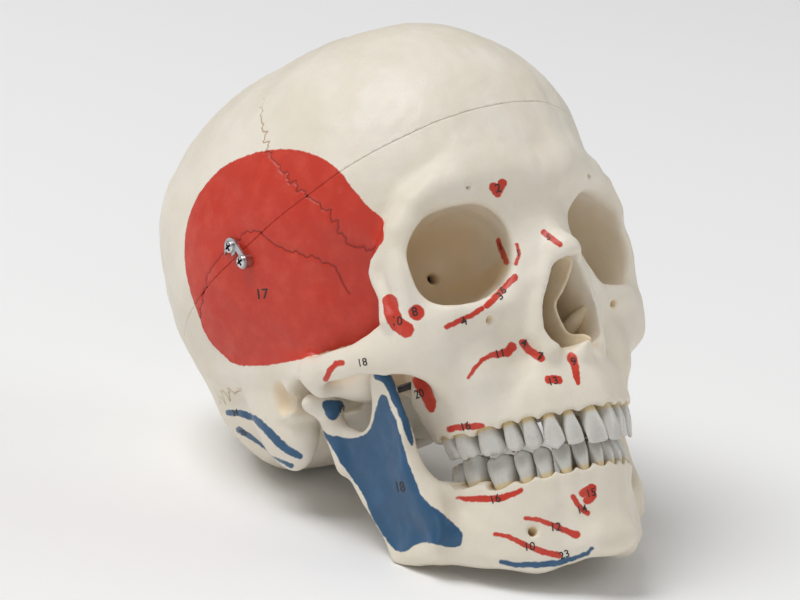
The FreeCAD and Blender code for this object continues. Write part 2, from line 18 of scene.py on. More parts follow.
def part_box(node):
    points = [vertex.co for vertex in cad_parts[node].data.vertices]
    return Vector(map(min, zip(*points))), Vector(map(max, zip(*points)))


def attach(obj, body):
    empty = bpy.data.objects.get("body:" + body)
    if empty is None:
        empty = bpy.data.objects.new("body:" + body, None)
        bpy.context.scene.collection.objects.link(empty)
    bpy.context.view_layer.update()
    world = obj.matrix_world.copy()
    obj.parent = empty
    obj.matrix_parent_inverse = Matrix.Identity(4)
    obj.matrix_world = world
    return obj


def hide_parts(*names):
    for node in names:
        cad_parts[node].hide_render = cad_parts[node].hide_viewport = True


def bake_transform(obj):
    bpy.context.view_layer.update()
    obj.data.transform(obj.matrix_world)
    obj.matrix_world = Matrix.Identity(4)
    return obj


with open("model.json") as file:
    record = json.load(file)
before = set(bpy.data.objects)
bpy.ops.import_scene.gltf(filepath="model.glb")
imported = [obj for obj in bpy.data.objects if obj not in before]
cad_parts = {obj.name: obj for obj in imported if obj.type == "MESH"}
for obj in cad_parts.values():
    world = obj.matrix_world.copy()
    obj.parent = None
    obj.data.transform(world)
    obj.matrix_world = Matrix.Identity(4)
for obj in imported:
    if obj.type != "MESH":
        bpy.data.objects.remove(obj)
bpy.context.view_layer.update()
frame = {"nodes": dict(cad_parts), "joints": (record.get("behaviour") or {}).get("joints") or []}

# ---- the anatomical frame ---------------------------------------------------------------------------
CUT_HEIGHT, CUT_SLOPE = 41.1, 0.279         # saw cut: z = CUT_HEIGHT - CUT_SLOPE * y
SAW_GAP = 0.3
# How the painted side is looked at: right, up and towards the eye.
SIGHT = np.array(((0.7578, -0.5987, -0.2600), (0.0911, -0.2975, 0.9505), (-0.6462, -0.7438, -0.1709)))
JAW_AXIS = Vector((0.0, -12.0, -13.0))


def frame_map():
    """Anatomical millimetres to the frame's metres, from the two main joints."""
    joints = {j["name"]: j for j in frame["joints"]}
    lift = joints["skullcap_lift"]["axis"]
    tilt = math.atan2(1.0, CUT_SLOPE) - math.atan2(lift[2], lift[1])
    turn = Matrix.Rotation(-tilt, 4, "X") @ Matrix.Scale(0.001, 4)
    shift = Vector(joints["jaw_open"]["pos_m"]) - turn @ JAW_AXIS
    shift.x = 0.0
    return Matrix.Translation(shift) @ turn


TO_ROW = frame_map()
BONE_STEP = 0.8      # mm between samples of the bone fields
TOOTH_STEP = 0.28


# ---- distance fields ----------------------------------------------------------------------------------
def blend(a, b, k):
    """Smooth union."""
    if k <= 0:
        return np.minimum(a, b)
    h = np.maximum(k - np.abs(a - b), 0) / k
    return np.minimum(a, b) - h * h * (k / 4)


def carve(a, b, k):
    """a without b, the edge rounded by k."""
    return -blend(-a, b, k)


def smooth_step(t):
    t = np.clip(t, 0, 1)
    return t * t * (3 - 2 * t)


def round_max(a, b, r):
    """Intersection with an edge of radius r."""
    outside = np.hypot(np.maximum(a + r, 0), np.maximum(b + r, 0))
    return outside + np.minimum(np.maximum(a, b) + r, 0) - r


def ellipsoid(x, y, z, centre, radii):
    ax, ay, az = (x - centre[0]) / radii[0], (y - centre[1]) / radii[1], (z - centre[2]) / radii[2]
    near = np.sqrt(ax * ax + ay * ay + az * az)
    slope = np.sqrt((ax / radii[0]) ** 2 + (ay / radii[1]) ** 2 + (az / radii[2]) ** 2)
    return near * (near - 1) / np.maximum(slope, 1e-6)


class Shape:
    """A distance function with the box it fills."""

    def __init__(self, distance, low, high):
        self.distance, self.low, self.high = distance, np.array(low, float), np.array(high, float)


def ball(centre, radii, turn=None):
    """An ellipsoid. turn is (axis, degrees)."""
    if not hasattr(radii, "__len__"):
        radii = (radii,) * 3
    reach = np.array(radii, float) if turn is None else np.full(3, float(max(radii)))
    if turn is None:
        return Shape(lambda x, y, z: ellipsoid(x, y, z, centre, radii),
                     np.array(centre) - reach, np.array(centre) + reach)
    m = Matrix.Rotation(math.radians(-turn[1]), 3, turn[0])

    def distance(x, y, z):
        dx, dy, dz = x - centre[0], y - centre[1], z - centre[2]
        u = [m[i][0] * dx + m[i][1] * dy + m[i][2] * dz for i in range(3)]
        return ellipsoid(*u, (0, 0, 0), radii)
    return Shape(distance, np.array(centre) - reach, np.array(centre) + reach)


def chain(points, radii, flat=None):
    """A bar of round cones through the points. flat is (direction, ratio): how thin it is that way."""
    if not hasattr(radii, "__len__"):
        radii = [radii] * len(points)
    points = [np.array(p, float) for p in points]
    squash = None
    if flat:
        n = np.array(flat[0], float)
        n /= np.linalg.norm(n)
        squash = (n, 1 / flat[1] - 1)

    def stretched(v):
        if squash is None:
            return v
        n, extra = squash
        along = v[0] * n[0] + v[1] * n[1] + v[2] * n[2]
        return [v[i] + n[i] * along * extra for i in range(3)]

    def distance(x, y, z):
        best = None
        for a, b, ra, rb in zip(points, points[1:], radii, radii[1:]):
            ab = stretched(list(b - a))
            v = stretched([x - a[0], y - a[1], z - a[2]])
            length = sum(c * c for c in ab)
            t = np.clip((v[0] * ab[0] + v[1] * ab[1] + v[2] * ab[2]) / length, 0, 1)
            d = np.sqrt(sum((v[i] - ab[i] * t) ** 2 for i in range(3))) - (ra + (rb - ra) * t)
            best = d if best is None else np.minimum(best, d)
        return best
    far = max(radii)
    return Shape(distance, np.min(points, 0) - far, np.max(points, 0) + far)


def smooth_line(points, closed=False, per=6):
    """Catmull-Rom points through a list, in two or more dimensions."""
    p = np.array(points, float)
    n = len(p)
    spans = n if closed else n - 1
    out = []
    for i in range(spans):
        near = [(i + k) % n if closed else min(max(i + k, 0), n - 1) for k in (-1, 0, 1, 2)]
        a, b, c, d = p[near]
        for t in np.arange(per) / per:
            out.append(0.5 * (2 * b + (c - a) * t + (2 * a - 5 * b + 4 * c - d) * t * t
                              + (3 * b - a - 3 * c + d) * t ** 3))
    if not closed:
        out.append(p[-1])
    return np.array(out)


def outline_distance(u, v, line):
    """Signed distance of points to a closed line in a plane, negative inside."""
    shape = np.broadcast(u, v).shape
    best = np.full(shape, 1e9, np.float32)
    inside = np.zeros(shape, bool)
    for (au, av), (bu, bv) in zip(line, np.roll(line, -1, 0)):
        du, dv = bu - au, bv - av
        t = np.clip(((u - au) * du + (v - av) * dv) / max(du * du + dv * dv, 1e-9), 0, 1)
        best = np.minimum(best, (u - au - t * du) ** 2 + (v - av - t * dv) ** 2)
        if abs(dv) > 1e-9:
            crosses = ((av > v) != (bv > v)) & (u < du * (v - av) / dv + au)
            inside ^= crosses
    best = np.sqrt(best)
    return np.where(inside, -best, best)


def plate(outline, middle, half, edge=2.0):
    """A sheet seen from the side: outline in (y, z), x = middle(y, z), half its thickness."""
    line = smooth_line(outline, closed=True)

    def distance(x, y, z):
        flat = outline_distance(y, z, line)
        side = np.abs(x - middle(y, z)) - (half(y, z) if callable(half) else half)
        return round_max(flat, side, edge)
    low, high = line.min(0), line.max(0)
    return Shape(distance, (0, *(low - 2)), (80, *(high + 2)))


class Field:
    """Distances sampled on a grid over the half space x >= 0."""

    def __init__(self, low, high, step):
        self.step = step
        self.axes = [np.arange(low[i], high[i] + step, step, dtype=np.float32) for i in range(3)]
        self.d = np.full([len(a) for a in self.axes], 40.0, np.float32)

    def window(self, low, high):
        cut, grid = [], []
        for i, axis in enumerate(self.axes):
            a, b = np.searchsorted(axis, (low[i], high[i]))
            cut.append(slice(a, b))
            grid.append(axis[a:b].reshape([-1 if j == i else 1 for j in range(3)]))
        return tuple(cut), grid

    def whole(self):
        return self.window([a[0] for a in self.axes], [a[-1] + 1 for a in self.axes])[1]

    def change(self, shape, k, how):
        pad = k + 3 * self.step
        cut, grid = self.window(shape.low - pad, shape.high + pad)
        if all(len(g.ravel()) for g in grid):
            self.d[cut] = how(self.d[cut], shape.distance(*grid), k)

    def add(self, shape, k=0.0):
        self.change(shape, k, blend)

    def cut(self, shape, k=0.0):
        self.change(shape, k, carve)

    def sample(self, points):
        """Trilinear values at points, which may be on either side."""
        at = [(np.abs(points[:, 0]) if i == 0 else points[:, i]) for i in range(3)]
        cell, part = [], []
        for i in range(3):
            f = np.clip((at[i] - self.axes[i][0]) / self.step, 0, len(self.axes[i]) - 1.001)
            cell.append(f.astype(int))
            part.append(f - cell[i])
        out = 0
        for i in (0, 1):
            for j in (0, 1):
                for k in (0, 1):
                    w = ((part[0] if i else 1 - part[0]) * (part[1] if j else 1 - part[1])
                         * (part[2] if k else 1 - part[2]))
                    out = out + w * self.d[cell[0] + i, cell[1] + j, cell[2] + k]
        return out


def surface_mesh(values, low, step):
    """Points and quads of the zero surface of a sampled field."""
    grid = openvdb.FloatGrid(3 * step)
    grid.copyFromArray(np.clip(values, -3 * step, 3 * step).astype(np.float32))
    points, quads = grid.convertToQuads(0.0)
    points = points.astype(float) * step + np.array(low)
    corner = points[quads]
    turned = np.einsum("ij,ij->i", corner[:, 0], np.cross(corner[:, 1], corner[:, 2])).sum()
    return points, (quads if turned > 0 else quads[:, ::-1])


def relax(points, quads, rounds):
    """Takes the stair steps out of a sampled surface without shrinking it."""
    edges = np.concatenate([quads[:, [i, (i + 1) % 4]] for i in range(4)])
    a, b = edges[:, 0], edges[:, 1]
    count = np.bincount(a, minlength=len(points))[:, None]
    for step in (0.5, -0.52) * rounds:
        mean = np.stack([np.bincount(a, points[b, i], len(points)) for i in range(3)], 1)
        points = points + step * (mean / np.maximum(count, 1) - points)
    return points


def sampled(distance, low, high, step, rounds):
    """Points and quads of the surface of a distance function inside a box."""
    axes = [np.arange(a, b, step) for a, b in zip(low, high)]
    points, quads = surface_mesh(distance(*np.ix_(*axes)), [a[0] for a in axes], step)
    return relax(points, quads, rounds), quads


def make_object(name, points, faces, to_row=True):
    """A smooth-shaded mesh object from anatomical points."""
    points = np.asarray(points, float)
    if to_row:
        m = np.array(TO_ROW)
        points = points @ m[:3, :3].T + m[:3, 3]
    faces = np.asarray(faces)
    mesh = bpy.data.meshes.new(name)
    sides = faces.shape[1]
    mesh.vertices.add(len(points))
    mesh.vertices.foreach_set("co", points.astype(np.float32).ravel())
    mesh.loops.add(faces.size)
    mesh.loops.foreach_set("vertex_index", faces.astype(np.int32).ravel())
    mesh.polygons.add(len(faces))
    mesh.polygons.foreach_set("loop_start", np.arange(0, faces.size, sides, dtype=np.int32))
    mesh.update(calc_edges=True)
    mesh.polygons.foreach_set("use_smooth", np.ones(len(mesh.polygons), bool))
    return link_object(name, mesh)


def settle(obj, material, slot, body, *nodes):
    """Material, carrying body and the CAD pieces that the object takes the place of. The slot is not used."""
    obj.data.materials.append(material)
    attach(obj, body)
    if nodes:
        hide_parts(*nodes)


def mesh_of(points, faces):
    mesh = bpy.data.meshes.new("mesh")
    mesh.from_pydata(points, [], faces)
    return mesh


def link_object(name, mesh):
    obj = bpy.data.objects.new(name, mesh)
    bpy.context.collection.objects.link(obj)
    return obj


def set_values(obj, name, values):
    layer = obj.data.attributes.new(name, "FLOAT", "POINT")
    layer.data.foreach_set("value", np.asarray(values, np.float32))


# ---- teeth --------------------------------------------------------------------------------------------
OCCLUSAL_Z, OCCLUSAL_SLOPE, INCISOR_Y = -53.5, 0.15, -91.0   # the bite plane and where the incisors stand
UPPER_GUM, LOWER_GUM = (10.3, 9.2), (-8.3, -11.2)  # gum heights from the bite plane, at the front and back
UPPER_WIDTHS = (7.8, 6.1, 6.9, 6.4, 6.2, 9.2, 8.7, 7.7)
LOWER_WIDTHS = (4.9, 5.4, 6.4, 6.5, 6.6, 10.0, 9.5, 8.9)
UPPER_DEPTHS = (6.6, 6.0, 7.8, 8.8, 8.8, 10.4, 10.2, 9.4)
LOWER_DEPTHS = (5.6, 5.8, 7.2, 7.4, 7.8, 9.8, 9.6, 9.0)
UPPER_HEIGHTS = (11.9, 11.0, 11.6, 10.2, 9.6, 9.3, 8.8, 8.0)
LOWER_HEIGHTS = (9.0, 9.3, 10.6, 10.4, 10.8, 10.8, 10.2, 7.8)
UPPER_ARCH = (30.5, 34.0, -55.0)            # half width, depth and rear centre of the row of crowns
LOWER_ARCH = (26.0, 35.5, -50.0)
CUSPS = {                                   # (along the row, outwards, height) as parts of the half sizes
    3: ((0, 0.5, 0), (0, -0.5, -0.8)),
    4: ((0, 0.5, -0.1), (0, -0.5, -0.4)),
    5: ((-0.45, 0.5, 0), (0.45, 0.5, -0.2), (-0.45, -0.5, -0.3), (0.45, -0.5, -0.5)),
}


def gum_height(upper, y):
    front, rear = UPPER_GUM if upper else LOWER_GUM
    back = min(max((y - INCISOR_Y) / 38, 0), 1)
    rise = 0 if upper else 3.2 * smooth_step((y + 62) / 12)
    return OCCLUSAL_Z + OCCLUSAL_SLOPE * (y - INCISOR_Y) + front + (rear - front) * back + rise


def arch_places(widths, arch):
    """(x, y, outward direction) of each crown from the middle to the back, spaced by the widths."""
    half, depth, rear = arch

    def at(s):
        if s <= math.pi / 2:
            return half * math.sin(s) ** 1.16, rear - depth * max(math.cos(s), 0) ** 1.16
        return half - 0.2 * (s - math.pi / 2) * half, rear + (s - math.pi / 2) * half
    edges, run, s, last, goal = [0.0], 0.0, 0.0, at(0), 0.0
    for width in widths:
        goal += width
        while run < goal:
            s += 0.002
            now = at(s)
            run += math.dist(now, last)
            last = now
        edges.append(s)
    places = []
    for a, b in zip(edges, edges[1:]):
        mid = (a + b) / 2
        (x1, y1), (x2, y2) = at(mid - 0.01), at(mid + 0.01)
        length = math.dist((x1, y1), (x2, y2))
        places.append((*at(mid), ((y2 - y1) / length, -(x2 - x1) / length)))
    return places


class Tooth:
    """One crown. Its own axes are m back along the row, b outwards and h from the gum to the biting edge."""

    def __init__(self, upper, kind, width, depth, height, place):
        self.upper, self.kind = upper, kind
        self.width, self.depth, self.height = width - 0.12, depth, height
        x, y, out = place
        self.sign = -1.0 if upper else 1.0
        self.origin = np.array((x, y, gum_height(upper, y)))
        self.out = np.array((out[0], out[1], 0.0))
        self.along = np.array((-out[1], out[0], 0.0))
        if upper and kind < 3:
            self.lean = 0.10
        else:
            self.lean = 0.05 if kind < 3 else -0.04

    def own_axes(self, x, y, z):
        dx, dy = x - self.origin[0], y - self.origin[1]
        h = self.sign * (z - self.origin[2])
        m = dx * self.along[0] + dy * self.along[1]
        b = dx * self.out[0] + dy * self.out[1] - self.lean * h
        return m, b, h

    def distance(self, x, y, z, root_depth):
        m, b, h = self.own_axes(x, y, z)
        kind, tall = min(self.kind, 5), self.height
        t = np.clip(h / tall, -0.6, 1.1)
        grow = smooth_step((t + 0.1) / 0.75)
        half_m = self.width / 2 * (0.66 + 0.34 * grow if kind < 3 else 0.74 + 0.26 * grow)
        if kind < 3:
            half_b = self.depth / 2 * np.clip(1.0 - 0.86 * smooth_step((t - 0.05) / 1.0), 0.12, 1)
            centre = self.depth * 0.5 * 0.30 * smooth_step(t) + 0.5 * np.sin(np.clip(t, 0, 1) * np.pi)
            power = 2.5
        else:
            belly = 0.07 * np.sin(np.clip(t + 0.25, 0, 1) * np.pi)
            half_b = self.depth / 2 * (0.90 + belly - 0.16 * smooth_step((t - 0.3) / 0.7))
            centre, power = 0.0, 3.0
        root = np.clip(-t, 0, 0.6)
        half_m = half_m * (1 - 0.7 * root)
        half_b = half_b * (1 - 0.5 * root)
        around = (np.abs(m / half_m) ** power + np.abs((b - centre) / half_b) ** power) ** (1 / power)
        side = (around - 1) * np.minimum(half_m, half_b) * 0.95
        if kind < 2:
            top = tall - 0.25 * np.abs(m / half_m) ** 3
        elif kind == 2:
            top = tall - 2.0 * np.abs(m) / (self.width / 2)
        else:
            top = -1e9
            for cm, cb, ch in CUSPS[kind]:
                away = np.hypot(m - cm * self.width / 2, (b - cb * self.depth / 2) * 0.9)
                peak = tall + ch - 0.55 * np.sqrt(away * away + 0.5) + 0.3
                top = np.maximum(top, peak)
        edge = 0.5 if kind < 3 else 0.9
        return np.maximum(round_max(side, (h - top) * 0.9, edge), -root_depth - h)

    def shape(self, root=3.6):
        reach = np.array((self.width, self.depth, 0)).max() * 0.75 + 1
        low = self.origin - (reach, reach, self.height + 2 if self.upper else 4)
        high = self.origin + (reach, reach, 4 if self.upper else self.height + 2)
        return Shape(lambda x, y, z: self.distance(x, y, z, root), low, high)

    def scallop(self):
        """The dip of the bone's edge in front of and behind the crown."""
        def distance(x, y, z):
            m, _, h = self.own_axes(x, y, z)
            return (np.hypot(m / (self.width * 0.5), (h - 1.1) / 2.0) - 1) * 1.6
        shape = self.shape()
        return Shape(distance, shape.low, shape.high)

    def root_bulge(self):
        """The ridge that the root raises on the outer face of the bone."""
        long = (9, 8, 13, 9, 8, 6, 5, 4)[self.kind]
        r = self.width * 0.36
        inset = self.depth / 2 - r + (0.8 if self.upper else 0.4)
        start = self.origin + self.out * inset
        end = start - np.array((0, 0, self.sign * long)) - self.out * (1.6 + 0.1 * long)
        return chain([start, end], [r, r * 0.6])


def tooth_rows():
    rows = {}
    for upper, widths, depths, heights, arch in (
            (True, UPPER_WIDTHS, UPPER_DEPTHS, UPPER_HEIGHTS, UPPER_ARCH),
            (False, LOWER_WIDTHS, LOWER_DEPTHS, LOWER_HEIGHTS, LOWER_ARCH)):
        places = arch_places(widths, arch)
        rows[upper] = [Tooth(upper, i, w, d, h, p)
                       for i, (w, d, h, p) in enumerate(zip(widths, depths, heights, places))]
    return rows


# ---- bone shapes ---------------------------------------------------------------------------------------
WALL = 5.5
# Planes that flatten the back corners: the normal and how far out each stands.
BACK_FACETS = ((0.756, 0.655, 0.01, 78.5), (0.719, 0.669, -0.193, 74.5), (0.638, 0.649, -0.415, 65))


def braincase(x, y, z):
    """The outer surface of the neurocranium: the rounds of the CAD model, flatter at the back corners."""
    d = ellipsoid(x, y, z, (0, 6, 46), (71, 84, 70.5))
    d = blend(d, ellipsoid(x, y, z, (0, -34, 52), (57, 60, 60)), 18)
    d = blend(d, ellipsoid(x, y, z, (0, 42, 18), (46, 40, 40)), 14)
    d = blend(d, ellipsoid(x, y, z, (36, -16, 8), (22, 30, 23)), 12)
    d = blend(d, ellipsoid(x, y, z, (27, 36, -3), (26, 28, 21)), 12)
    d = blend(d, ellipsoid(x, y, z, (0, 5, -6), (30, 42, 17)), 14)
    for nx, ny, nz, far in BACK_FACETS:
        d = carve(d, far - nx * x - ny * y - nz * z, 10)
    return d


def vault_x(y, z):
    """How far out the braincase stands at (y, z)."""
    low, high = 0.0, 90.0
    for _ in range(30):
        mid = (low + high) / 2
        if braincase(mid, y, z) > 0:
            high = mid
        else:
            low = mid
    return low


def on_vault(path, sink, radii):
    """A ridge that follows the side of the braincase through (y, z) points."""
    return chain([(vault_x(y, z) - sink, y, z) for y, z in path], radii)


def orbit_hollow(x, y, z, grow=0.0):
    """The eye socket: squarish at the rim, narrowing backwards and inwards."""
    cx, cy, cz = 29.5, -74.0, 18.5
    ax, ay, az = np.array((22.0, -42.0, -5.0)) / math.sqrt(22 ** 2 + 42 ** 2 + 5 ** 2)
    dx, dy, dz = x - cx, y - cy, z - cz
    along = dx * ax + dy * ay + dz * az
    flat = math.hypot(ax, ay)
    across = (dx * ay - dy * ax) / flat
    up = (dz - along * az) / flat
    droop = up - 0.10 * across
    q = (np.abs(across / 19.2) ** 2.3 + np.abs(droop / 17.2) ** 2.3) ** (1 / 2.3)
    near = np.sqrt(q * q + (along / 36.0) ** 2)
    return (near - 1) * 16.0 - grow


ORBIT = Shape(orbit_hollow, (4, -112, -6), (60, -36, 42))


def nose_opening(x, y, z):
    """The pear-shaped opening, straight through the front of the face."""
    half = np.interp(z, (-20, -17, -13, -8, -2, 4, 10), (8.5, 11.4, 12.4, 12.0, 10.2, 7.6, 4.8))
    return round_max(x - half, np.maximum(z - 9.5, -19.5 - z), 3.5)


def cavity(x, y, z):
    """The inside of the braincase with its three stepped floors."""
    front = smooth_step((-y - 34) / 14)
    back = smooth_step((y - 10) / 20)
    floor = 2 + 31 * front - 16 * back
    d = carve(braincase(x, y, z) + WALL, z - floor, 6)
    petrous = chain([(10, -16, -4), (28, 2, 3), (50, 16, 6)], [7, 7, 8]).distance(x, y, z)
    d = carve(d, petrous, 6)
    return carve(d, orbit_hollow(x, y, z, 3.5), 6)


def horseshoe(rows):
    """A curved bar round the dental arch.

    Each row goes from one end of a cross-section to the other: (x, y, z, half thickness) three times, for
    the gum edge, the middle and the border. Rows run from the midline backwards.
    """
    rows = np.array(rows, float).reshape(len(rows), 3, 4)
    mirror = rows[1:2].copy()
    mirror[:, :, 0] *= -1
    line = smooth_line(np.concatenate([mirror, rows]).reshape(len(rows) + 1, 12), per=5)
    line = line.reshape(-1, 3, 4)

    def at(t):
        """Centre line and half thickness at height t, 0 at the gum edge and 1 at the border."""
        a, b, c = line[:, 0], line[:, 1], line[:, 2]
        return a * (1 - t) * (1 - 2 * t) + b * 4 * t * (1 - t) + c * t * (2 * t - 1)

    def distance(x, y, z):
        out = np.full(np.broadcast(x, y, z).shape, 30.0, np.float32)
        xs, ys = np.broadcast_arrays(x[:, :, 0], y[:, :, 0])
        ends = np.array([line[:, 0, 2], line[:, 2, 2]])
        for k, level in enumerate(z.ravel()):
            t = (level - ends[0]) / (ends[1] - ends[0])
            best = np.full(xs.shape, 1e9, np.float32)
            half = np.zeros(xs.shape, np.float32)
            top = np.zeros(xs.shape, np.float32)
            low = np.zeros(xs.shape, np.float32)
            centre = np.array([at(np.clip(t[i], -0.1, 1.1))[i] for i in range(len(line))])
            for i in range(len(line) - 1):
                p, q = centre[i], centre[i + 1]
                du, dv = q[0] - p[0], q[1] - p[1]
                s = np.clip(((xs - p[0]) * du + (ys - p[1]) * dv) / (du * du + dv * dv), 0, 1)
                d = np.hypot(xs - p[0] - s * du, ys - p[1] - s * dv)
                closer = d < best
                best = np.where(closer, d, best)
                half = np.where(closer, p[3] + (q[3] - p[3]) * s, half)
                top = np.where(closer, ends[0][i] + (ends[0][i + 1] - ends[0][i]) * s, top)
                low = np.where(closer, ends[1][i] + (ends[1][i + 1] - ends[1][i]) * s, low)
            side = best - half
            rise = np.maximum(np.minimum(top, low) - level, level - np.maximum(top, low))
            soft = np.where(np.abs(level - low) < np.abs(level - top), 4.5, 1.6)
            out[:, :, k] = round_max(side, rise, soft)
        return out
    flat = rows.reshape(-1, 4)
    return Shape(distance, (0, flat[:, 1].min() - 9, flat[:, 2].min() - 3),
                 (flat[:, 0].max() + 9, flat[:, 1].max() + 9, flat[:, 2].max() + 3))


def sculpt_cranium(teeth):
    """Skull base, face and vault in one field, still uncut, and the field of the upper crowns."""
    f = Field((0, -108, -62), (77, 96, 122), BONE_STEP)
    f.d = braincase(*f.whole()).astype(np.float32)

    # the brow, the side of the socket and the cheek bone
    f.add(chain([(0, -87, 39), (11, -87.5, 41), (23, -85, 42.5), (35, -80.5, 42), (43, -76, 38), (48, -72, 30)],
                [6.5, 6, 5.2, 4.6, 4.4, 4.4]), 7)
    f.add(chain([(47.5, -71, 31), (48.5, -69.5, 20), (49.5, -66.5, 8), (48, -64.5, 0)], [4.2, 4, 4.8, 7]), 6)
    f.add(ball((42, -65.5, -6), (11, 9.5, 11.5)), 8)
    f.add(chain([(44.5, -65, -12), (38.5, -63.5, -20), (31, -63, -27), (28, -66, -36)], [7, 4.5, 4.5, 5.5]), 7)
    f.add(chain([(5, -88.5, 41), (13, -87.5, 45.5), (24, -83, 48.5)], [5.5, 5, 3.5]), 9)
    # the upper jaw and the floor of the socket
    f.add(ball((0, -64, -14), (27, 24, 25)), 8)
    f.add(ball((28, -62, 16), (24, 19, 20)), 8)
    f.add(chain([(14, -80, 1), (26, -80, -3), (38, -74, -2)], [5, 5, 6]), 6)
    # bridge of the nose and the sides of its opening
    f.add(chain([(0, -85, 32), (0, -87, 25), (0, -91, 17), (0, -95.5, 12)], [7, 5.6, 5.6, 5.6]), 6)
    f.add(chain([(7, -85, 27), (10.5, -85, 15), (15, -83.5, 3), (19, -80, -9)], [4, 4, 4.5, 6]), 6)
    f.add(chain([(3, -93, 12), (7.8, -90.5, 4), (11.5, -88, -5), (14, -86, -13), (11, -87, -20)],
                [3.4, 3.2, 3.2, 3.4, 3.6]), 4)
    f.add(chain([(4.5, -88, 21), (7.5, -88, 13), (10, -87, 5)], [3.6, 3.4, 3.4]), 4)
    f.add(ball((26, -64, -19), (15, 16.5, 18)), 7)
    # dental ridge
    rows = tuple((t.origin, t.out, t.depth) for t in teeth)
    ridge = [((0, rows[0][0][1] - 0.8, gum_height(True, rows[0][0][1]) - 1.0, 4.6),
              (0, rows[0][0][1] + 1.0, -36, 5.4), (0, rows[0][0][1] + 3.5, -22, 6))]
    for origin, out, depth in rows:
        x, y, _ = origin
        half = depth / 2 + 0.9
        ridge.append(((x, y, gum_height(True, y) - 0.9, half),
                      (x - out[0], y - out[1], -35, half + 0.6),
                      (x - out[0] * 4, y - out[1] * 4, -20, half)))
    last = ridge[-1]
    ridge.append(tuple((x - 0.6, y + 6, z, half * 0.8) for x, y, z, half in last))
    f.add(horseshoe(ridge), 4)
    for tooth in teeth:
        f.add(tooth.root_bulge(), 2.5)
    f.add(chain([(0, -91, -23), (0, -94.5, -20.5)], [3.5, 1.4]), 3)
    # hollows of the face
    f.cut(ball((27, -94, -17), (8, 13, 12)), 8)
    f.cut(ball((0, -62, -43), (19.5, 27, 15)), 5)
    f.cut(ball((66, -50, 10), (20, 11, 26), ("Z", 20)), 8)

    # cheek arch
    arch = [(47, -63, -6), (54, -55, -6), (59.5, -45, -5.5), (62, -33, -4.5), (61.5, -22, -3.5), (57, -12, -1)]
    f.add(chain(arch, [10.5, 8.6, 5.2, 4.6, 5.2, 6.2], flat=((1, -0.35, 0), 0.5)), 5)
    f.add(chain([(48.5, -69, 31), (50, -66, 27.5), (52, -60.5, 23.5), (52.4, -58.4, 20.5), (52.4, -58.6, 16.5),
                 (52.6, -60.5, 10.5), (53.5, -61, 3)], [2.6, 2.4, 2.3, 2.3, 2.3, 2.5, 4]), 3)
    f.add(ball((50.4, -65, 15), (2.8, 8.5, 15), ("Z", 20)), 3)
    # side of the temple, ear and mastoid
    f.add(on_vault([(-10, 0), (6, 4), (20, 9), (34, 14)], 2.4, [4, 3.6, 3.2, 2.6]), 8)
    f.add(ball((51, 11, -11), (9.5, 13, 19.5), ("X", -8)), 7)
    f.add(chain([(40, -1, -9), (57, -2.5, -8.5)], [7, 6.6]), 4)
    f.add(chain([(40, -22, -9.5), (58, -21, -8.5)], [4.5, 4.2]), 5)
    f.cut(chain([(42, JAW_AXIS.y, -11.5), (62, JAW_AXIS.y, -11.5)], [7.2, 7.2]), 2)
    f.cut(ball((61, -1, -7.5), (5.5, 4.2, 5.5)), 2.5)
    f.cut(ball((43, 20, -26), (5, 14, 9)), 5)
    # back of the head
    f.add(chain([(0, 81.5, 8), (0, 81, 2)], [4, 3]), 8)
    f.add(chain([(0, 80, 3), (18, 74.5, 5), (34, 61, 3.5), (46, 41, -1.5), (53, 28, -5)],
                [2.4, 2, 1.6, 1.4, 1.8]), 6)
    f.add(chain([(0, 59, -14.5), (20, 51, -17), (36, 37, -17.5)], [2.4, 2, 2]), 5)
    f.add(chain([(0, 77, -1), (0, 59, -15), (0, 42, -20)], [1.4, 1.4, 1.4]), 5)
    # underside
    f.add(ball((16, -2, -24), (5, 10, 5.5), ("Z", -20)), 4)
    f.add(chain([(0, -34, -12), (0, -4, -22)], [10, 7]), 8)
    f.add(ball((29.5, -48, -22), (9, 12, 14)), 5)
    f.add(chain([(24, -40, -2), (26.5, -39, -17), (25, -41, -30)], [8, 7.5, 6], flat=((1, -0.4, 0), 0.3)), 3)
    f.add(chain([(12, -42, -4), (11.5, -46, -18), (11, -48.5, -34)], [6, 5, 3.6], flat=((1, 0, 0), 0.3)), 3)
    f.add(chain([(24, -30, -8), (44, -30, -10)], [7, 6]), 8)
    f.cut(Shape(lambda x, y, z: (np.hypot(x / 14.5, (y - 15) / 17.5) - 1) * 14.5,
                (0, -4, -50), (16, 34, 0)), 3)
    # hollows
    for tooth in teeth:
        f.cut(tooth.scallop(), 0.6)
    f.cut(ORBIT, 1.6)
    f.cut(Shape(nose_opening, (0, -112, -21), (14, -76, 11)), 1.2)
    f.cut(ball((0, -66, -8), (13, 26, 17)), 3)
    f.cut(ball((0, -77, 4), (4.2, 11, 14)), 3)
    f.cut(chain([(7.5, -60, -13), (7.5, -30, -14)], [7, 7], flat=((1, 0, 0), 0.85)), 3)
    f.cut(chain([(15, -50, 18), (12, -34, 21)], [1.9, 1.9]), 1)
    f.cut(chain([(20, -46, 13), (27, -48, 21)], [1.2, 0.8]), 1)
    f.cut(chain([(29.2, -79.6, -5), (27, -90, -9)], [1.0, 1.9]), 1.4)
    f.cut(chain([(28, -83, 40), (28, -93, 38.5)], [0.7, 1.3]), 1.2)
    hollow = Shape(cavity, (0, -92, -22), (70, 88, 118))
    f.cut(hollow, 1.5)
    crowns = Field((0, -104, -62), (40, -44, -36), 0.8)
    for tooth in teeth:
        crowns.add(tooth.shape(root=0.2))
    return f, crowns


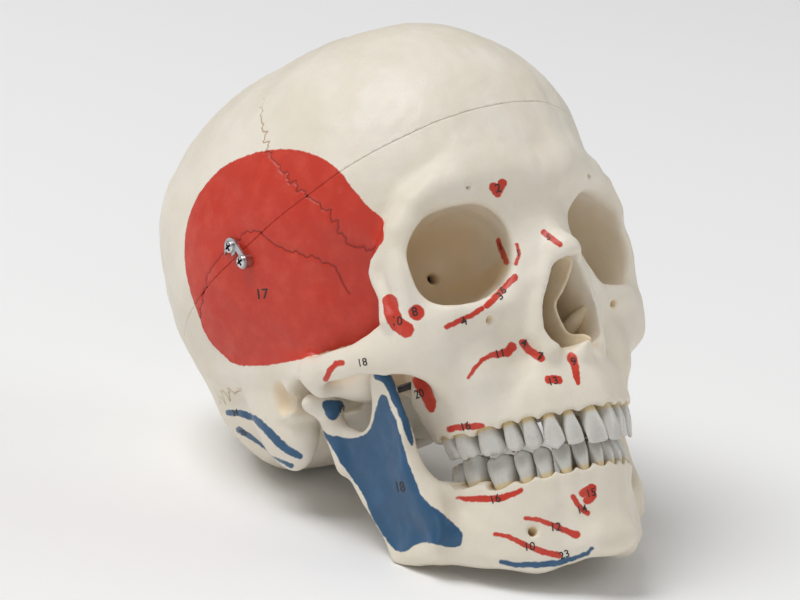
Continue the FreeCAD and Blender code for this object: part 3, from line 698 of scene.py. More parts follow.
def sculpt_jaw(teeth):
    """The lower jaw and the field of its crowns."""
    f = Field((0, -100, -106), (66, 8, -6), BONE_STEP)
    # one row each: gum edge, middle and border of the body, from the chin to the angle
    rows = []
    for kind, middle, border in ((None, (0, -80.5, -77, 5.2), (0, -76.0, -90.5, 5.4)),
                                 (1, (7.0, -78, -77, 5.2), (6.5, -73.5, -90.5, 5.4)),
                                 (2, (12.5, -72, -77.5, 5.2), (12, -68.5, -90.5, 5.2)),
                                 (4, (20.0, -65.5, -76, 5.6), (20.5, -62, -91, 5.2)),
                                 (5, (28.0, -57.5, -74, 6.2), (31.0, -55.0, -86.0, 5.2)),
                                 (6, (32.5, -47.0, -71, 6.6), (37.5, -43.5, -80.0, 5.2)),
                                 (7, (37.5, -37.0, -68, 6.0), (42.5, -33.0, -76.5, 4.6))):
        if kind is None:
            y = teeth[0].origin[1] - 0.5
            gum = (0, y, gum_height(False, y) + 0.9, 3.8)
        else:
            t = teeth[kind]
            gum = (t.origin[0], t.origin[1], t.origin[2] + 0.9, t.depth / 2 + 0.8)
        rows.append((gum, middle, border))
    f.add(horseshoe(rows))
    for tooth in teeth:
        f.add(tooth.root_bulge(), 2.5)
    # chin
    f.add(ball((0, -80.5, -85), (9, 4.5, 6)), 6)
    # branch: condyle, notch and coronoid process
    outline = [(-14, -19), (-19, -23), (-26, -27), (-33, -25), (-38, -19), (-41.3, -13), (-45, -9.8),
               (-48.8, -13), (-50.4, -21), (-50.2, -31), (-48, -39), (-46.8, -47), (-48, -56), (-51, -66),
               (-45, -77), (-35, -76.5), (-25, -75.5),
               (-21, -70), (-17.5, -58), (-13.5, -44), (-10.5, -32), (-9.5, -20)]

    def middle(y, z):
        flare = 2.0 * smooth_step((-62 - z) / 12) * smooth_step((y + 42) / 14)
        return 50.8 + (z + 15) * 0.105 + flare - 0.03 * (y + 30)

    def half(y, z):
        front = 1.5 * np.exp(-((y + 47.5 + (z + 40) * 0.05) / 3.2) ** 2) * smooth_step((-24 - z) / 14)
        back = 0.8 * np.exp(-((y + 13 - (z + 40) * 0.28) / 3.0) ** 2)
        low = 1.0 * smooth_step((-66 - z) / 8)
        return 2.0 + front + back + low
    f.add(plate(outline, middle, half, 1.9), 6)
    f.add(chain([(48, -41.5, -46), (44, -43, -57), (39.5, -46, -68), (34, -49.5, -75)], [2.2, 2.8, 4.2, 5]), 7)
    f.add(chain([(45.5, -43, -51), (42, -45.5, -55.5), (37, -46.5, -57), (32, -49, -59)], [2.6, 3.2, 4, 4]), 5)
    f.add(chain([(49.5, -12.5, -17), (49.3, -13, -25), (49.2, -12.5, -36)], [3.6, 2.9, 2.4]), 4)
    f.add(ball((51, JAW_AXIS.y, JAW_AXIS.z), (9.2, 4.6, 4.6), ("Y", -6)), 3.5)
    f.cut(ball((54.6, -33, -50), (3.4, 11, 18), ("X", -12)), 3)
    f.cut(chain([(44, -30, -50), (37, -24, -47)], [1.6, 1.8]), 1.5)
    f.cut(chain([(22, -63, -78), (24.4, -70.6, -77.3), (26, -76, -77)], [1.1, 1.5, 2.2]), 1.4)
    f.cut(ball((0, -68, -84), (8, 5, 7)), 4)
    for tooth in teeth:
        f.cut(tooth.scallop(), 0.6)
    crowns = Field((0, -100, -80), (40, -34, -44), 0.8)
    for tooth in teeth:
        crowns.add(tooth.shape(root=0.2))
    return f, crowns


def whole_surface(field):
    """Mirrors a half field and meshes it."""
    full = np.concatenate([field.d[:0:-1], field.d])
    low = (-field.axes[0][-1], field.axes[1][0], field.axes[2][0])
    points, quads = surface_mesh(full, low, field.step)
    return relax(points, quads, 2), quads


def unevenness(points, waves, seed):
    """A gentle wave field over the points: (wavelength, height) pairs, summed in random directions."""
    random = np.random.default_rng(seed)
    total = np.zeros(len(points))
    for length, height in waves:
        for _ in range(9):
            way = random.normal(size=3)
            way *= 2 * np.pi / length / np.linalg.norm(way)
            total += height / 3 * np.sin(points @ way + random.uniform(0, 2 * np.pi))
    return total


def weathered(points, quads, seed):
    """Moves a surface in and out a little, as natural bone is never quite smooth."""
    corner = points[quads]
    face = np.cross(corner[:, 2] - corner[:, 0], corner[:, 3] - corner[:, 1])
    normal = np.stack([np.bincount(quads.ravel(), np.repeat(face[:, i], 4), len(points)) for i in range(3)], 1)
    normal /= np.maximum(np.linalg.norm(normal, axis=1), 1e-9)[:, None]
    return points + normal * unevenness(points, ((34, 0.35), (13, 0.16), (6, 0.06)), seed)[:, None]


def biggest_piece(points, quads):
    """Leaves out specks that float free of the main surface."""
    label = np.arange(len(points))
    for _ in range(200):
        low = label[quads].min(1)
        new = label.copy()
        np.minimum.at(new, quads.ravel(), np.repeat(low, 4))
        new = new[new]
        if np.array_equal(new, label):
            break
        label = new
    names, count = np.unique(label, return_counts=True)
    keep = label == names[count.argmax()]
    index = np.cumsum(keep) - 1
    return points[keep], index[quads[keep[quads].all(1)]]


def split_at_cut(points, quads):
    """The base and the cap of the braincase, parted at the saw cut with their rims closed."""
    normal = Vector((0, CUT_SLOPE, 1)).normalized()
    parts = []
    height = points @ np.array(normal) - CUT_HEIGHT * normal.z
    for side, level in ((-1, -SAW_GAP * normal.z), (1, 0.0)):
        keep = (height[quads] * side > -3).any(1)
        used = np.unique(quads[keep])
        index = np.zeros(len(points), int)
        index[used] = np.arange(len(used))
        mesh = mesh_of(points[used].tolist(), index[quads[keep]].tolist())
        bm = bmesh.new()
        bm.from_mesh(mesh)
        bpy.data.meshes.remove(mesh)
        plane = Vector((0, 0, CUT_HEIGHT)) + normal * level
        cut = bmesh.ops.bisect_plane(bm, geom=bm.verts[:] + bm.edges[:] + bm.faces[:], plane_co=plane,
                                     plane_no=normal, clear_outer=side < 0, clear_inner=side > 0)
        rim = [e for e in cut["geom_cut"] if isinstance(e, bmesh.types.BMEdge)]
        bmesh.ops.triangle_fill(bm, edges=rim, use_beauty=False, normal=normal * -side)
        bmesh.ops.recalc_face_normals(bm, faces=bm.faces[:])
        parts.append(bm)
    return parts


def refine(bm, jaw):
    """Splits the faces under painted lines and sutures, so that their edges come out sharp."""
    bm.verts.ensure_lookup_table()
    for _ in range(2):
        points = np.array([v.co for v in bm.verts])
        near = np.full(len(points), 9.0)
        for line, radii in RED_STROKES + BLUE_STROKES:
            stroke = polyline_distance(flattened(points), flattened(np.array(line)), radii)
            near = np.minimum(near, np.abs(stroke))
        if not jaw:
            near = np.minimum(near, suture_distance(points))
            near[braincase(*points.T) < -3] = 9
        close = near < 0.9
        edges = [e for e in bm.edges if close[e.verts[0].index] and close[e.verts[1].index]]
        bmesh.ops.subdivide_edges(bm, edges=edges, cuts=1, use_grid_fill=True)
        bm.verts.index_update()
        bm.verts.ensure_lookup_table()


def bone_object(name, bm):
    """Takes a bmesh in anatomical millimetres to an object in the frame. Returns it with its own points."""
    refine(bm, name.startswith("jaw"))
    if not name.startswith("jaw"):
        points = np.array([v.co for v in bm.verts])
        depth = 0.3 * np.exp(-(suture_distance(points) / 0.45) ** 2)
        depth[braincase(*points.T) < -3] = 0
        bm.normal_update()
        for i in np.flatnonzero(depth > 0.02):
            bm.verts[i].co -= bm.verts[i].normal * depth[i]
    mesh = bpy.data.meshes.new(name)
    bm.normal_update()
    bm.to_mesh(mesh)
    bm.free()
    points = np.zeros(len(mesh.vertices) * 3, np.float32)
    mesh.vertices.foreach_get("co", points)
    normals = np.zeros(len(points), np.float32)
    mesh.vertex_normals.foreach_get("vector", normals)
    mesh.transform(TO_ROW)
    mesh.polygons.foreach_set("use_smooth", np.ones(len(mesh.polygons), bool))
    obj = link_object(name, mesh)
    return obj, points.reshape(-1, 3).astype(float), normals.reshape(-1, 3).astype(float)


# ---- materials ----------------------------------------------------------------------------------------
class Nodes:
    """Short names for building a node material."""

    def __init__(self, name):
        self.material = bpy.data.materials.new(name)
        self.material.use_nodes = True
        self.tree = self.material.node_tree
        self.shader = self.tree.nodes["Principled BSDF"]
        self.place = None

    def new(self, kind, **settings):
        node = self.tree.nodes.new(kind)
        for key, value in settings.items():
            setattr(node, key, value)
        return node

    def link(self, source, node, socket):
        self.tree.links.new(source, node.inputs[socket])

    def coordinates(self):
        if self.place is None:
            self.place = self.new("ShaderNodeTexCoord").outputs["Object"]
        return self.place

    def noise(self, scale, detail=3.0, rough=0.55, distortion=0.0):
        node = self.new("ShaderNodeTexNoise")
        node.inputs["Scale"].default_value = scale
        node.inputs["Detail"].default_value = detail
        node.inputs["Roughness"].default_value = rough
        node.inputs["Distortion"].default_value = distortion
        self.link(self.coordinates(), node, "Vector")
        return node.outputs["Fac"]

    def value(self, name):
        return self.new("ShaderNodeAttribute", attribute_name=name).outputs["Fac"]

    def math(self, operation, a, b=None):
        node = self.new("ShaderNodeMath", operation=operation)
        for i, x in enumerate((a, b)):
            if isinstance(x, (int, float)):
                node.inputs[i].default_value = x
            elif x is not None:
                self.tree.links.new(x, node.inputs[i])
        return node.outputs[0]

    def ramp(self, source, low, high, to_low=0.0, to_high=1.0):
        node = self.new("ShaderNodeMapRange", interpolation_type="SMOOTHSTEP")
        node.inputs["From Min"].default_value = low
        node.inputs["From Max"].default_value = high
        node.inputs["To Min"].default_value = to_low
        node.inputs["To Max"].default_value = to_high
        self.link(source, node, "Value")
        return node.outputs["Result"]

    def mix(self, factor, a, b, how="MIX"):
        node = self.new("ShaderNodeMix", data_type="RGBA", blend_type=how)
        node.inputs[0].default_value = 1.0
        for socket, x in ((0, factor), (6, a), (7, b)):
            if isinstance(x, tuple):
                node.inputs[socket].default_value = (*x, 1.0)
            elif isinstance(x, (int, float)):
                node.inputs[socket].default_value = x
            else:
                self.tree.links.new(x, node.inputs[socket])
        return node.outputs[2]

    def bump(self, height, strength, distance, under=None):
        node = self.new("ShaderNodeBump")
        node.inputs["Strength"].default_value = strength
        node.inputs["Distance"].default_value = distance
        self.link(height, node, "Height")
        if under is not None:
            self.link(under, node, "Normal")
        return node.outputs["Normal"]

    def finish(self, color=None, rough=None, normal=None, **numbers):
        for key, source in (("Base Color", color), ("Roughness", rough), ("Normal", normal)):
            if source is None:
                continue
            if isinstance(source, tuple):
                self.shader.inputs[key].default_value = (*source, 1.0)
            elif isinstance(source, (int, float)):
                self.shader.inputs[key].default_value = source
            else:
                self.link(source, self.shader, key)
        for key, number in numbers.items():
            self.shader.inputs[key.replace("_", " ")].default_value = number
        return self.material


# The third colour is the tan painted as shade in the hollows, the eye sockets and the nose.
IVORY, CREAM, SHADE_TAN = (0.785, 0.72, 0.60), (0.835, 0.78, 0.68), (0.80, 0.61, 0.37)
RED, BLUE = (0.57, 0.042, 0.022), (0.030, 0.097, 0.195)


def shaded_inside_bone():
    """The ivory plastic painted darker and tanner as painted shade, for small parts far inside the nose and
    under the base.
    """
    n = Nodes("bone_plastic_shaded_inside")
    tone = n.mix(n.ramp(n.noise(60, 4), 0.35, 0.7), (0.70, 0.56, 0.38), (0.80, 0.69, 0.51))
    grain = n.bump(n.noise(300, 4), 0.3, 0.0006)
    return n.finish(tone, n.ramp(n.noise(80, 3), 0.3, 0.7, 0.45, 0.58), grain)


def bone_material():
    """Matt ivory plastic with painted areas, and tan painted shade in the hollows, the eye sockets and the nose.
    The meshes carry distances in millimetres for the paint, and weights for the painted shade.
    """
    n = Nodes("bone_plastic")
    tone = n.mix(n.ramp(n.noise(38, 4), 0.35, 0.68), IVORY, CREAM)
    tone = n.mix(n.ramp(n.noise(9, 2), 0.42, 0.62, 0, 0.35), tone, (0.80, 0.70, 0.53))
    speck = n.ramp(n.noise(900, 2), 0.66, 0.74, 0, 0.22)
    tone = n.mix(speck, tone, (0.60, 0.47, 0.31))
    # Painted shade: tan where the surroundings close in over the bone, and inside the eye sockets and the nose.
    hollow = n.math("MAXIMUM", n.ramp(n.value("open"), 0.75, 0.15, 0, 0.75), n.value("deep_shade"))
    tone = n.mix(hollow, tone, SHADE_TAN)
    groove = n.ramp(n.value("suture"), 0.42, 0.12, 0, 0.8)
    tone = n.mix(groove, tone, (0.42, 0.27, 0.14))
    wobble = n.math("MULTIPLY", n.math("SUBTRACT", n.noise(420, 3), 0.5), 1.2)
    thin = n.noise(150, 4, 0.6)
    masks = []
    for paint, color, shade in (("blue", BLUE, (0.040, 0.118, 0.235)), ("red", RED, (0.63, 0.063, 0.036))):
        edge = n.math("ADD", n.value(paint), wobble)
        mask = n.ramp(edge, 0.25, -0.25)
        coat = n.mix(n.ramp(thin, 0.40, 0.75), color, shade)
        coat = n.mix(n.ramp(n.value("suture"), 0.5, 0.1, 0, 0.75), coat, tuple(c * 0.45 for c in color))
        tone = n.mix(mask, tone, coat)
        masks.append(mask)
    glue = n.ramp(n.value("glue"), 0.95, 0.25, 0, 0.8)
    tone = n.mix(glue, tone, (0.66, 0.47, 0.15))
    painted = n.math("MAXIMUM", *masks)
    rough = n.math("ADD", n.ramp(n.noise(60, 3), 0.3, 0.7, 0.40, 0.52), n.math("MULTIPLY", painted, -0.06))
    fine = n.bump(n.noise(1400, 3), 0.22, 0.0003)
    grain = n.bump(n.noise(220, 4), 0.30, 0.0007, fine)
    coat = n.bump(painted, 0.25, 0.0002, grain)
    suture = n.bump(n.ramp(n.value("suture"), 0.6, 0.0), -0.5, 0.0006, coat)
    return n.finish(tone, rough, suture, Specular_IOR_Level=0.42, Subsurface_Weight=0.06,
                    Subsurface_Scale=0.002)


def tooth_material():
    n = Nodes("tooth_plastic")
    tone = n.mix(n.ramp(n.noise(160, 3), 0.35, 0.7), (0.60, 0.585, 0.54), (0.66, 0.645, 0.60))
    neck = n.ramp(n.math("ADD", n.value("neck"), n.math("MULTIPLY", n.noise(500, 3), 0.8)), 1.9, 0.4, 0, 0.75)
    tone = n.mix(neck, tone, (0.70, 0.53, 0.24))
    rough = n.ramp(n.noise(300, 3), 0.3, 0.7, 0.24, 0.34)
    ripple = n.bump(n.noise(700, 3), 0.10, 0.0003)
    return n.finish(tone, rough, ripple, Subsurface_Weight=0.08, Subsurface_Scale=0.0015, Coat_Weight=0.25,
                    Coat_Roughness=0.12)


def steel_material(name, color, rough, scale, shade_in_recess=False):
    n = Nodes(name)
    worn = n.noise(scale, 4, 0.65)
    tone = n.mix(n.ramp(worn, 0.35, 0.75), color, tuple(c * 0.72 for c in color))
    # Painted shade: near black inside the cross recess of the screw heads.
    if shade_in_recess:
        tone = n.mix(n.ramp(n.value("neck"), 0.2, 0.8), tone, (0.03, 0.03, 0.03))
    grain = n.bump(n.noise(scale * 7, 2), 0.12, 0.0001)
    return n.finish(tone, n.ramp(worn, 0.3, 0.75, rough, rough + 0.12), grain, Metallic=1.0)


def ink_material():
    n = Nodes("ink")
    tone = n.mix(n.ramp(n.noise(900, 2), 0.3, 0.7), (0.012, 0.011, 0.010), (0.035, 0.032, 0.030))
    return n.finish(tone, 0.5)


# ---- build --------------------------------------------------------------------------------------------
teeth = tooth_rows()
BONE, TOOTH = bone_material(), tooth_material()
SHADED_INSIDE, INK = shaded_inside_bone(), ink_material()
CHROME = steel_material("bright_steel", (0.50, 0.50, 0.51), 0.20, 120)
SCREW = steel_material("screw_steel", (0.74, 0.74, 0.75), 0.24, 120, shade_in_recess=True)
DARK_STEEL = steel_material("spring_steel", (0.13, 0.13, 0.14), 0.30, 300)


def set_up_bone(obj, points, normals, field, crowns, body, *nodes):
    """Material, body and the values that drive the paint and the painted shade."""
    # How open the space over each point is: the material paints tan shade where it closes in.
    openness_for_shade = (field.sample(points + normals * 5) / 5 + field.sample(points + normals * 12) / 12) / 2
    set_values(obj, "open", np.clip(openness_for_shade, -1, 1))
    set_values(obj, "glue", crowns.sample(points) if crowns else np.full(len(points), 9.0))
    for name, values in paint(points, normals, body == "jaw").items():
        set_values(obj, name, values)
    settle(obj, BONE, "bone_plastic", body, *nodes)


FLATTEN = 0.92                              # how much of the depth the strokes overlook


def flattened(points):
    """Points with their depth along the line of sight nearly taken out."""
    return points - FLATTEN * (points @ SIGHT[2])[..., None] * SIGHT[2]


def polyline_distance(points, line, radii):
    """Distance from points to a line of round strokes in space."""
    line = np.array(line, float)
    radii = np.interp(np.arange(len(line)), np.linspace(0, len(line) - 1, len(radii)), radii) * STROKE
    if len(line) == 1:
        return np.linalg.norm(points - line[0], axis=1) - radii[0]
    best = np.full(len(points), 99.0)
    near = np.flatnonzero(((points > line.min(0) - 6) & (points < line.max(0) + 6)).all(1))
    p = points[near]
    for a, b, ra, rb in zip(line, line[1:], radii, radii[1:]):
        ab = b - a
        t = np.clip((p - a) @ ab / max(ab @ ab, 1e-9), 0, 1)
        reach = np.linalg.norm(p - a - t[:, None] * ab, axis=1) - ra - (rb - ra) * t
        best[near] = np.minimum(best[near], reach)
    return best


STROKE = 1.12                               # factor on all half widths below
# Painted strokes: the points they run through on the right side of the face, and their half widths.
RED_STROKES = (
    (((-54.5, -64, 8.5), (-55, -64, 4.5), (-55.5, -65.5, 0.5), (-55, -69, -3)), (2.3, 2.4)),
    (((-51.5, -72, 2), (-51.5, -72.5, 1.5)), (2.3,)),
    (((-44.5, -77, -5.5), (-40, -79.5, -4.5), (-36, -81.5, -3.5), (-32, -83, -2)), (0.8,)),
    (((-30.5, -83.5, -1.5), (-25, -84, 1.5), (-20.5, -85.5, 4.5), (-17.5, -87, 6.5)), (0.9, 1.0)),
    (((-8.5, -74, 23), (-9, -75, 19), (-11, -78, 14)), (0.8, 0.8)),
    (((-13, -87.5, 17.5), (-13.5, -88, 14), (-15.5, -87, 11)), (0.5,)),
    (((-20, -91.5, 37.5), (-18.5, -91, 35)), (1.4, 1.1)),
    (((-17, -93, 38), (-18, -91, 35.5)), (1.4, 1.1)),
    (((-4.5, -93, 19.5), (-5, -96.5, 16), (-4.5, -99, 13)), (0.9,)),
    (((-38, -73.5, -23), (-36.5, -75.5, -21), (-33.5, -77.5, -18.5), (-30, -78.5, -17.5)), (0.5, 0.8)),
    (((-30, -78.5, -17.5), (-26, -79, -17.5), (-23, -79.5, -17.5), (-21.5, -80.5, -16)), (0.9, 1.5)),
    (((-18, -82.5, -15.5), (-16.5, -83, -18.5), (-15.5, -86.5, -22.5)), (1.2,)),
    (((-16.5, -88.5, -30.5), (-14.5, -89.5, -31), (-13.5, -90, -31.5)), (1.3,)),
    (((-5.5, -90.5, -24.5), (-6, -91.5, -27.5), (-7, -92, -31), (-7.5, -92.5, -34)), (1.5, 0.7)),
    (((-37.5, -57, -36.5), (-38.5, -60.5, -37), (-37.5, -65, -38), (-35, -70, -39.5)), (1.0,)),
    (((-31, -43.5, -57.5), (-33.5, -51, -60), (-32.5, -58, -62), (-30.5, -64, -64), (-28.5, -68, -64),
      (-26.5, -71.5, -63.5)), (0.7, 1.1, 0.8)),
    (((-11, -84, -70), (-8, -85.5, -69)), (1.4,)),
    (((-10, -84, -72.5), (-8.5, -85, -71.5)), (1.4,)),
    (((-15, -83, -70.5), (-14, -83, -73.5), (-12.5, -83, -75.5), (-11, -83.5, -77)), (0.8,)),
    (((-27, -70, -73), (-24.5, -74, -75), (-21, -77, -78.5), (-18, -79, -81.5),
      (-15.5, -80, -83)), (0.6, 1.2)),
    (((-33.5, -60.5, -75), (-31, -63.5, -77), (-28.5, -68, -81.5), (-25.5, -72, -85.5),
      (-21.5, -75.5, -88.5)), (0.6, 1.1)),
    (((-64, -32, -8.5), (-64.5, -36, -6.5), (-63.5, -39, -5), (-63, -41.5, -5.5)), (0.9,)),
)
BLUE_STROKES = (
    (((-33.5, -59.5, -84.5), (-30.5, -63, -87), (-27, -68, -89), (-21, -74.5, -91),
      (-17.5, -79.5, -91), (-14.5, -82, -90.5), (-13, -83, -89)), (0.7, 1.1, 0.7)),
    (((-56, 36, -2), (-56, 29, -4), (-56, 21, -8), (-56, 17, -12), (-56, 14, -16), (-56, 11, -20), (-56, 7, -24),
      (-56, 2.5, -27.5)), (0.9, 1.1, 1.5, 1.4, 1.0)),
    (((-50, 39, -8), (-50, 34, -12), (-50, 30, -16), (-50, 26, -21), (-50, 20, -25)), (1.2, 0.6, 0.5)),
    (((-52, 27, -19), (-52, 19, -24), (-52, 13, -28)), (0.4, 0.9)),
    (((-53, -16, -14.5), (-48.5, -16, -15), (-52, -16, -18), (-53, -16, -14.5)), (1.7,)),
)
# Painted areas seen from the side, as (y, z) outlines.
TEMPORAL = ((-27, 75.5), (-43, 70), (-56.5, 59), (-63, 42.5), (-67, 34), (-68.5, 29.5), (-64, 27),
            (-57.5, 23.5), (-55, 20.5), (-55.5, 16.5), (-57.5, 11), (-58.5, 6.5), (-55, 3.5), (-46, 1.5),
            (-34, 1.5), (-26, 2), (-18, 2.5), (-1.5, 5.5), (14, 10), (20, 15), (23.5, 23.5), (21.5, 31.5),
            (20, 42), (19.5, 50.5), (17, 58), (12.5, 66), (4.5, 72.5), (-5, 76.5), (-15, 77))
# Painted areas as the eye sees them: (right, up) along SIGHT.
MASSETER = ((-29.5, -22.5), (-26, -24), (-22.5, -24.5), (-18.5, -25), (-15, -24), (-12.5, -22), (-11, -19),
            (-10, -14.5), (-9, -10.5), (-7.5, -9.5), (-6, -10.5), (-5, -14), (-3, -18.5), (-1.5, -23.5),
            (0, -28.5), (1.5, -33.5), (3.5, -38.5), (5.5, -43.5), (8.5, -46.5), (12, -49), (15.5, -52),
            (18.5, -55), (19.5, -57.5), (18.5, -60.5), (15, -61), (10.5, -60), (7, -59.5), (3.5, -60.5),
            (1, -62.5), (-1.5, -63.5), (-4, -62.5), (-6.5, -59.5), (-9, -56), (-12, -50.5), (-14, -45.5),
            (-16.5, -41.5), (-21, -35.5), (-25, -29))
CORONOID = ((-10, -1.5), (-4, -2), (-3, -7.5), (-1, -12), (1, -17.5), (2.5, -23), (2.5, -27), (1, -25),
            (-0.5, -21), (-2.5, -15.5), (-4.5, -11.5), (-6, -8), (-7.5, -5.5), (-9, -4.5), (-10.5, -4))
TUBEROSITY = ((2.5, -4), (8.5, -4), (9, -8), (10.5, -11.5), (10, -15), (8, -15.5), (6.5, -12.5), (4.5, -9))
# Sutures on the right side; both sides have them.
CORONAL = ((-3, -9, 117), (-25, -12, 112), (-40, -16.5, 103), (-52, -21.3, 91.4), (-58, -27.1, 80.5),
           (-60.6, -30.1, 73.7), (-61.6, -38, 62), (-61.3, -43.5, 54.6), (-58.6, -50.6, 44.4),
           (-54.6, -51.1, 33.5), (-51.1, -56.3, 29.4), (-50.4, -61.1, 26.7))
SQUAMOSAL = ((-68, 21.6, 30.4), (-70.5, 11.5, 37.9), (-71.3, 6.7, 42), (-70.5, -2.8, 46.2), (-70.7, -12.2, 48.7),
             (-68.3, -18.4, 49.7), (-67.5, -23.4, 46.9), (-66.1, -26.9, 41.7), (-64.1, -31.5, 37.8),
             (-61.9, -37.5, 33.9), (-58.6, -41.5, 30.1), (-55.8, -43.2, 26.5), (-54.2, -42.6, 21.8),
             (-52.9, -42.6, 17.7))
LAMBDOID = ((-54, 45, 3), (-56, 38, 4), (-56.5, 31, 4), (-57, 24, 3), (-58, 19, 6))


def squiggle(line, size, pitch):
    """The line thrown from side to side like the teeth of a suture."""
    fine = smooth_line(line, per=14)
    step = np.diff(fine, axis=0, append=fine[-1:] * 2 - fine[-2:-1])
    run = np.cumsum(np.linalg.norm(step, axis=1))
    side = np.cross(step, fine - (0, 6, 46))
    side /= np.maximum(np.linalg.norm(side, axis=1), 1e-9)[:, None]
    throw = size * (np.sin(run * 2 * np.pi / pitch) + 0.6 * np.sin(run * 2 * np.pi / (pitch * 0.43) + 1))
    return fine + side * (throw * np.sin(run / pitch * 0.7 + 0.5))[:, None]


def drawn_to_sphere(points):
    """Points moved towards a sphere round the braincase, so that a line runs on the surface under it."""
    away = points - (0, 6, 46)
    reach = np.linalg.norm(away, axis=1)[:, None]
    return away / reach * (72 + 0.12 * (reach - 72))


def suture_distance(points):
    both = drawn_to_sphere(points * (-1, 1, 1))
    best = np.full(len(points), 9.0)
    for line, size, pitch in ((CORONAL, 1.1, 5.0), (SQUAMOSAL, 0.5, 7.0), (LAMBDOID, 2.2, 5.5)):
        path = drawn_to_sphere(squiggle(line, size, pitch))
        for p in (drawn_to_sphere(points), both):
            best = np.minimum(best, polyline_distance(p, path, (0.0,)))
    top = smooth_step((points[:, 2] - 84) / 26) * 0.5
    return best + top


def paint(points, normals, jaw):
    """Distances from the painted areas and lines, in millimetres, negative inside an area, and the weight of the
    tan painted shade in the eye sockets and the nose.
    """
    red = np.full(len(points), 9.0)
    blue = red.copy()
    flat = flattened(points)
    away = -4 * normals @ SIGHT[2]
    for strokes, out in ((RED_STROKES, red), (BLUE_STROKES, blue)):
        for line, radii in strokes:
            near = polyline_distance(flat, flattened(np.array(line)), radii)
            np.minimum(out, np.maximum(near, away), out=out)
    right = points[:, 0] < -25
    y, z = points[right, 1], points[right, 2]
    across, up, near = (points[right] @ SIGHT.T).T
    turned = (0.05 - normals[right] @ SIGHT[2]) * 6

    def area(outline):
        return np.maximum(outline_distance(across, up, smooth_line(outline, closed=True, per=4)), turned)
    suture = np.full(len(points), 9.0)
    if jaw:
        blue[right] = np.minimum(blue[right], np.minimum(area(MASSETER), area(CORONOID)))
    else:
        red[right] = np.minimum(red[right], np.maximum(area(TUBEROSITY), near - 74))
        side = outline_distance(y, z, smooth_line(TEMPORAL, closed=True, per=4))
        inside = np.maximum(1.8 - cavity(-points[right, 0], y, z), 2.5 - orbit_hollow(-points[right, 0], y, z))
        red[right] = np.minimum(red[right], np.maximum(side, inside))
        suture = suture_distance(points)
        suture[braincase(*points.T) < -3] = 9
    # Painted shade: tan growing towards the back of the eye sockets and of the nose cavity.
    eye = orbit_hollow(np.abs(points[:, 0]), points[:, 1], points[:, 2])
    deep_shade = smooth_step((1.5 - eye) / 2.5) * smooth_step((points[:, 1] + 84) / 30) * 0.75
    nose = smooth_step((15 - np.abs(points[:, 0])) / 3) * smooth_step((points[:, 1] + 91) / 12)
    nose = nose * smooth_step((points[:, 2] + 24) / 3) * smooth_step((18 - points[:, 2]) / 3)
    nose = nose * smooth_step((-36 - points[:, 1]) / 10)
    deep_shade = np.maximum(deep_shade, nose * 0.7 * (not jaw))
    return {"red": red, "blue": blue, "suture": suture, "deep_shade": deep_shade}


def build_skull():
    field, crowns = sculpt_cranium(teeth[True])
    points, quads = biggest_piece(*whole_surface(field))
    base, cap = split_at_cut(weathered(points, quads, 3), quads)
    obj, p, n = bone_object("skull_bone", base)
    set_up_bone(obj, p, n, field, crowns, "skull_base", "braincase_base", "facial_skeleton")
    obj, p, n = bone_object("skullcap_bone", cap)
    set_up_bone(obj, p, n, field, None, "skullcap", "calvaria")


def build_jaw():
    field, crowns = sculpt_jaw(teeth[False])
    points, quads = biggest_piece(*whole_surface(field))
    points = weathered(points, quads, 5)
    bm = bmesh.new()
    mesh = mesh_of(points.tolist(), quads.tolist())
    bm.from_mesh(mesh)
    bpy.data.meshes.remove(mesh)
    obj, p, n = bone_object("jaw_bone", bm)
    set_up_bone(obj, p, n, field, crowns, "jaw", "mandible")


def build_teeth():
    for upper, row in teeth.items():
        for number, tooth in enumerate(row, 1):
            shape = tooth.shape()
            points, quads = sampled(shape.distance, shape.low, shape.high, TOOTH_STEP, 2)
            neck = tooth.own_axes(*points.T)[2]
            for side, flip in (("left", 1), ("right", -1)):
                node = f"tooth_{'upper' if upper else 'lower'}_{side}_{number}"
                faces = quads if flip > 0 else quads[:, ::-1]
                obj = make_object("crown_" + node[6:], points * (flip, 1, 1), faces)
                set_values(obj, "neck", neck)
                settle(obj, TOOTH, "tooth_plastic", "skull_base" if upper else "jaw", node)


# Painted numbers: text, the point it sits on, height in mm and turn in degrees.
NUMBERS = {
    "skull_bone": (("17", (-66.5, -13.5, 28), 3.6, -12), ("18", (-60.5, -49, -8), 2.6, -5),
                   ("2", (-18.5, -92, 36.5), 3.0, 0), ("8", (-52, -72, 2), 3.0, 0),
                   ("10", (-54, -65.5, 1), 3.0, -15), ("4", (-38.5, -79.5, -5), 3.0, 10),
                   ("3", (-24.5, -85, 1), 2.8, 20), ("6", (-22.5, -85, 3), 2.8, 20),
                   ("1", (-8.5, -74.5, 20.5), 2.6, 0), ("1", (-14, -88, 14.5), 2.4, 0),
                   ("5", (-5, -95, 17), 2.2, 0), ("11", (-26, -79, -17.5), 2.8, 0),
                   ("4", (-18, -83, -16), 2.8, -30), ("7", (-16, -86, -21.5), 2.8, -30),
                   ("9", (-5.5, -91, -26), 2.8, 0), ("13", (-15, -89, -31), 2.6, 0),
                   ("20", (-32, -48.5, -21.5), 3.0, 0), ("16", (-38, -64, -38), 2.8, 0),
                   ("24", (-56, 33, -3), 2.4, 0), ("25", (-50, 37, -9.5), 2.2, 0)),
    "jaw_bone": (("18", (-50.5, -39, -50.5), 3.6, -8), ("16", (-31.5, -62.5, -63.5), 2.8, 0),
                 ("15", (-8.5, -85, -70.5), 2.6, 0), ("14", (-12.5, -83, -75.5), 2.6, 0),
                 ("12", (-20.5, -77, -79), 2.8, -10), ("10", (-27.5, -69, -82.5), 2.8, -10),
                 ("23", (-19.5, -77, -91), 2.6, 5), ("12", (-47.5, -16, -16.5), 2.4, 0)),
}


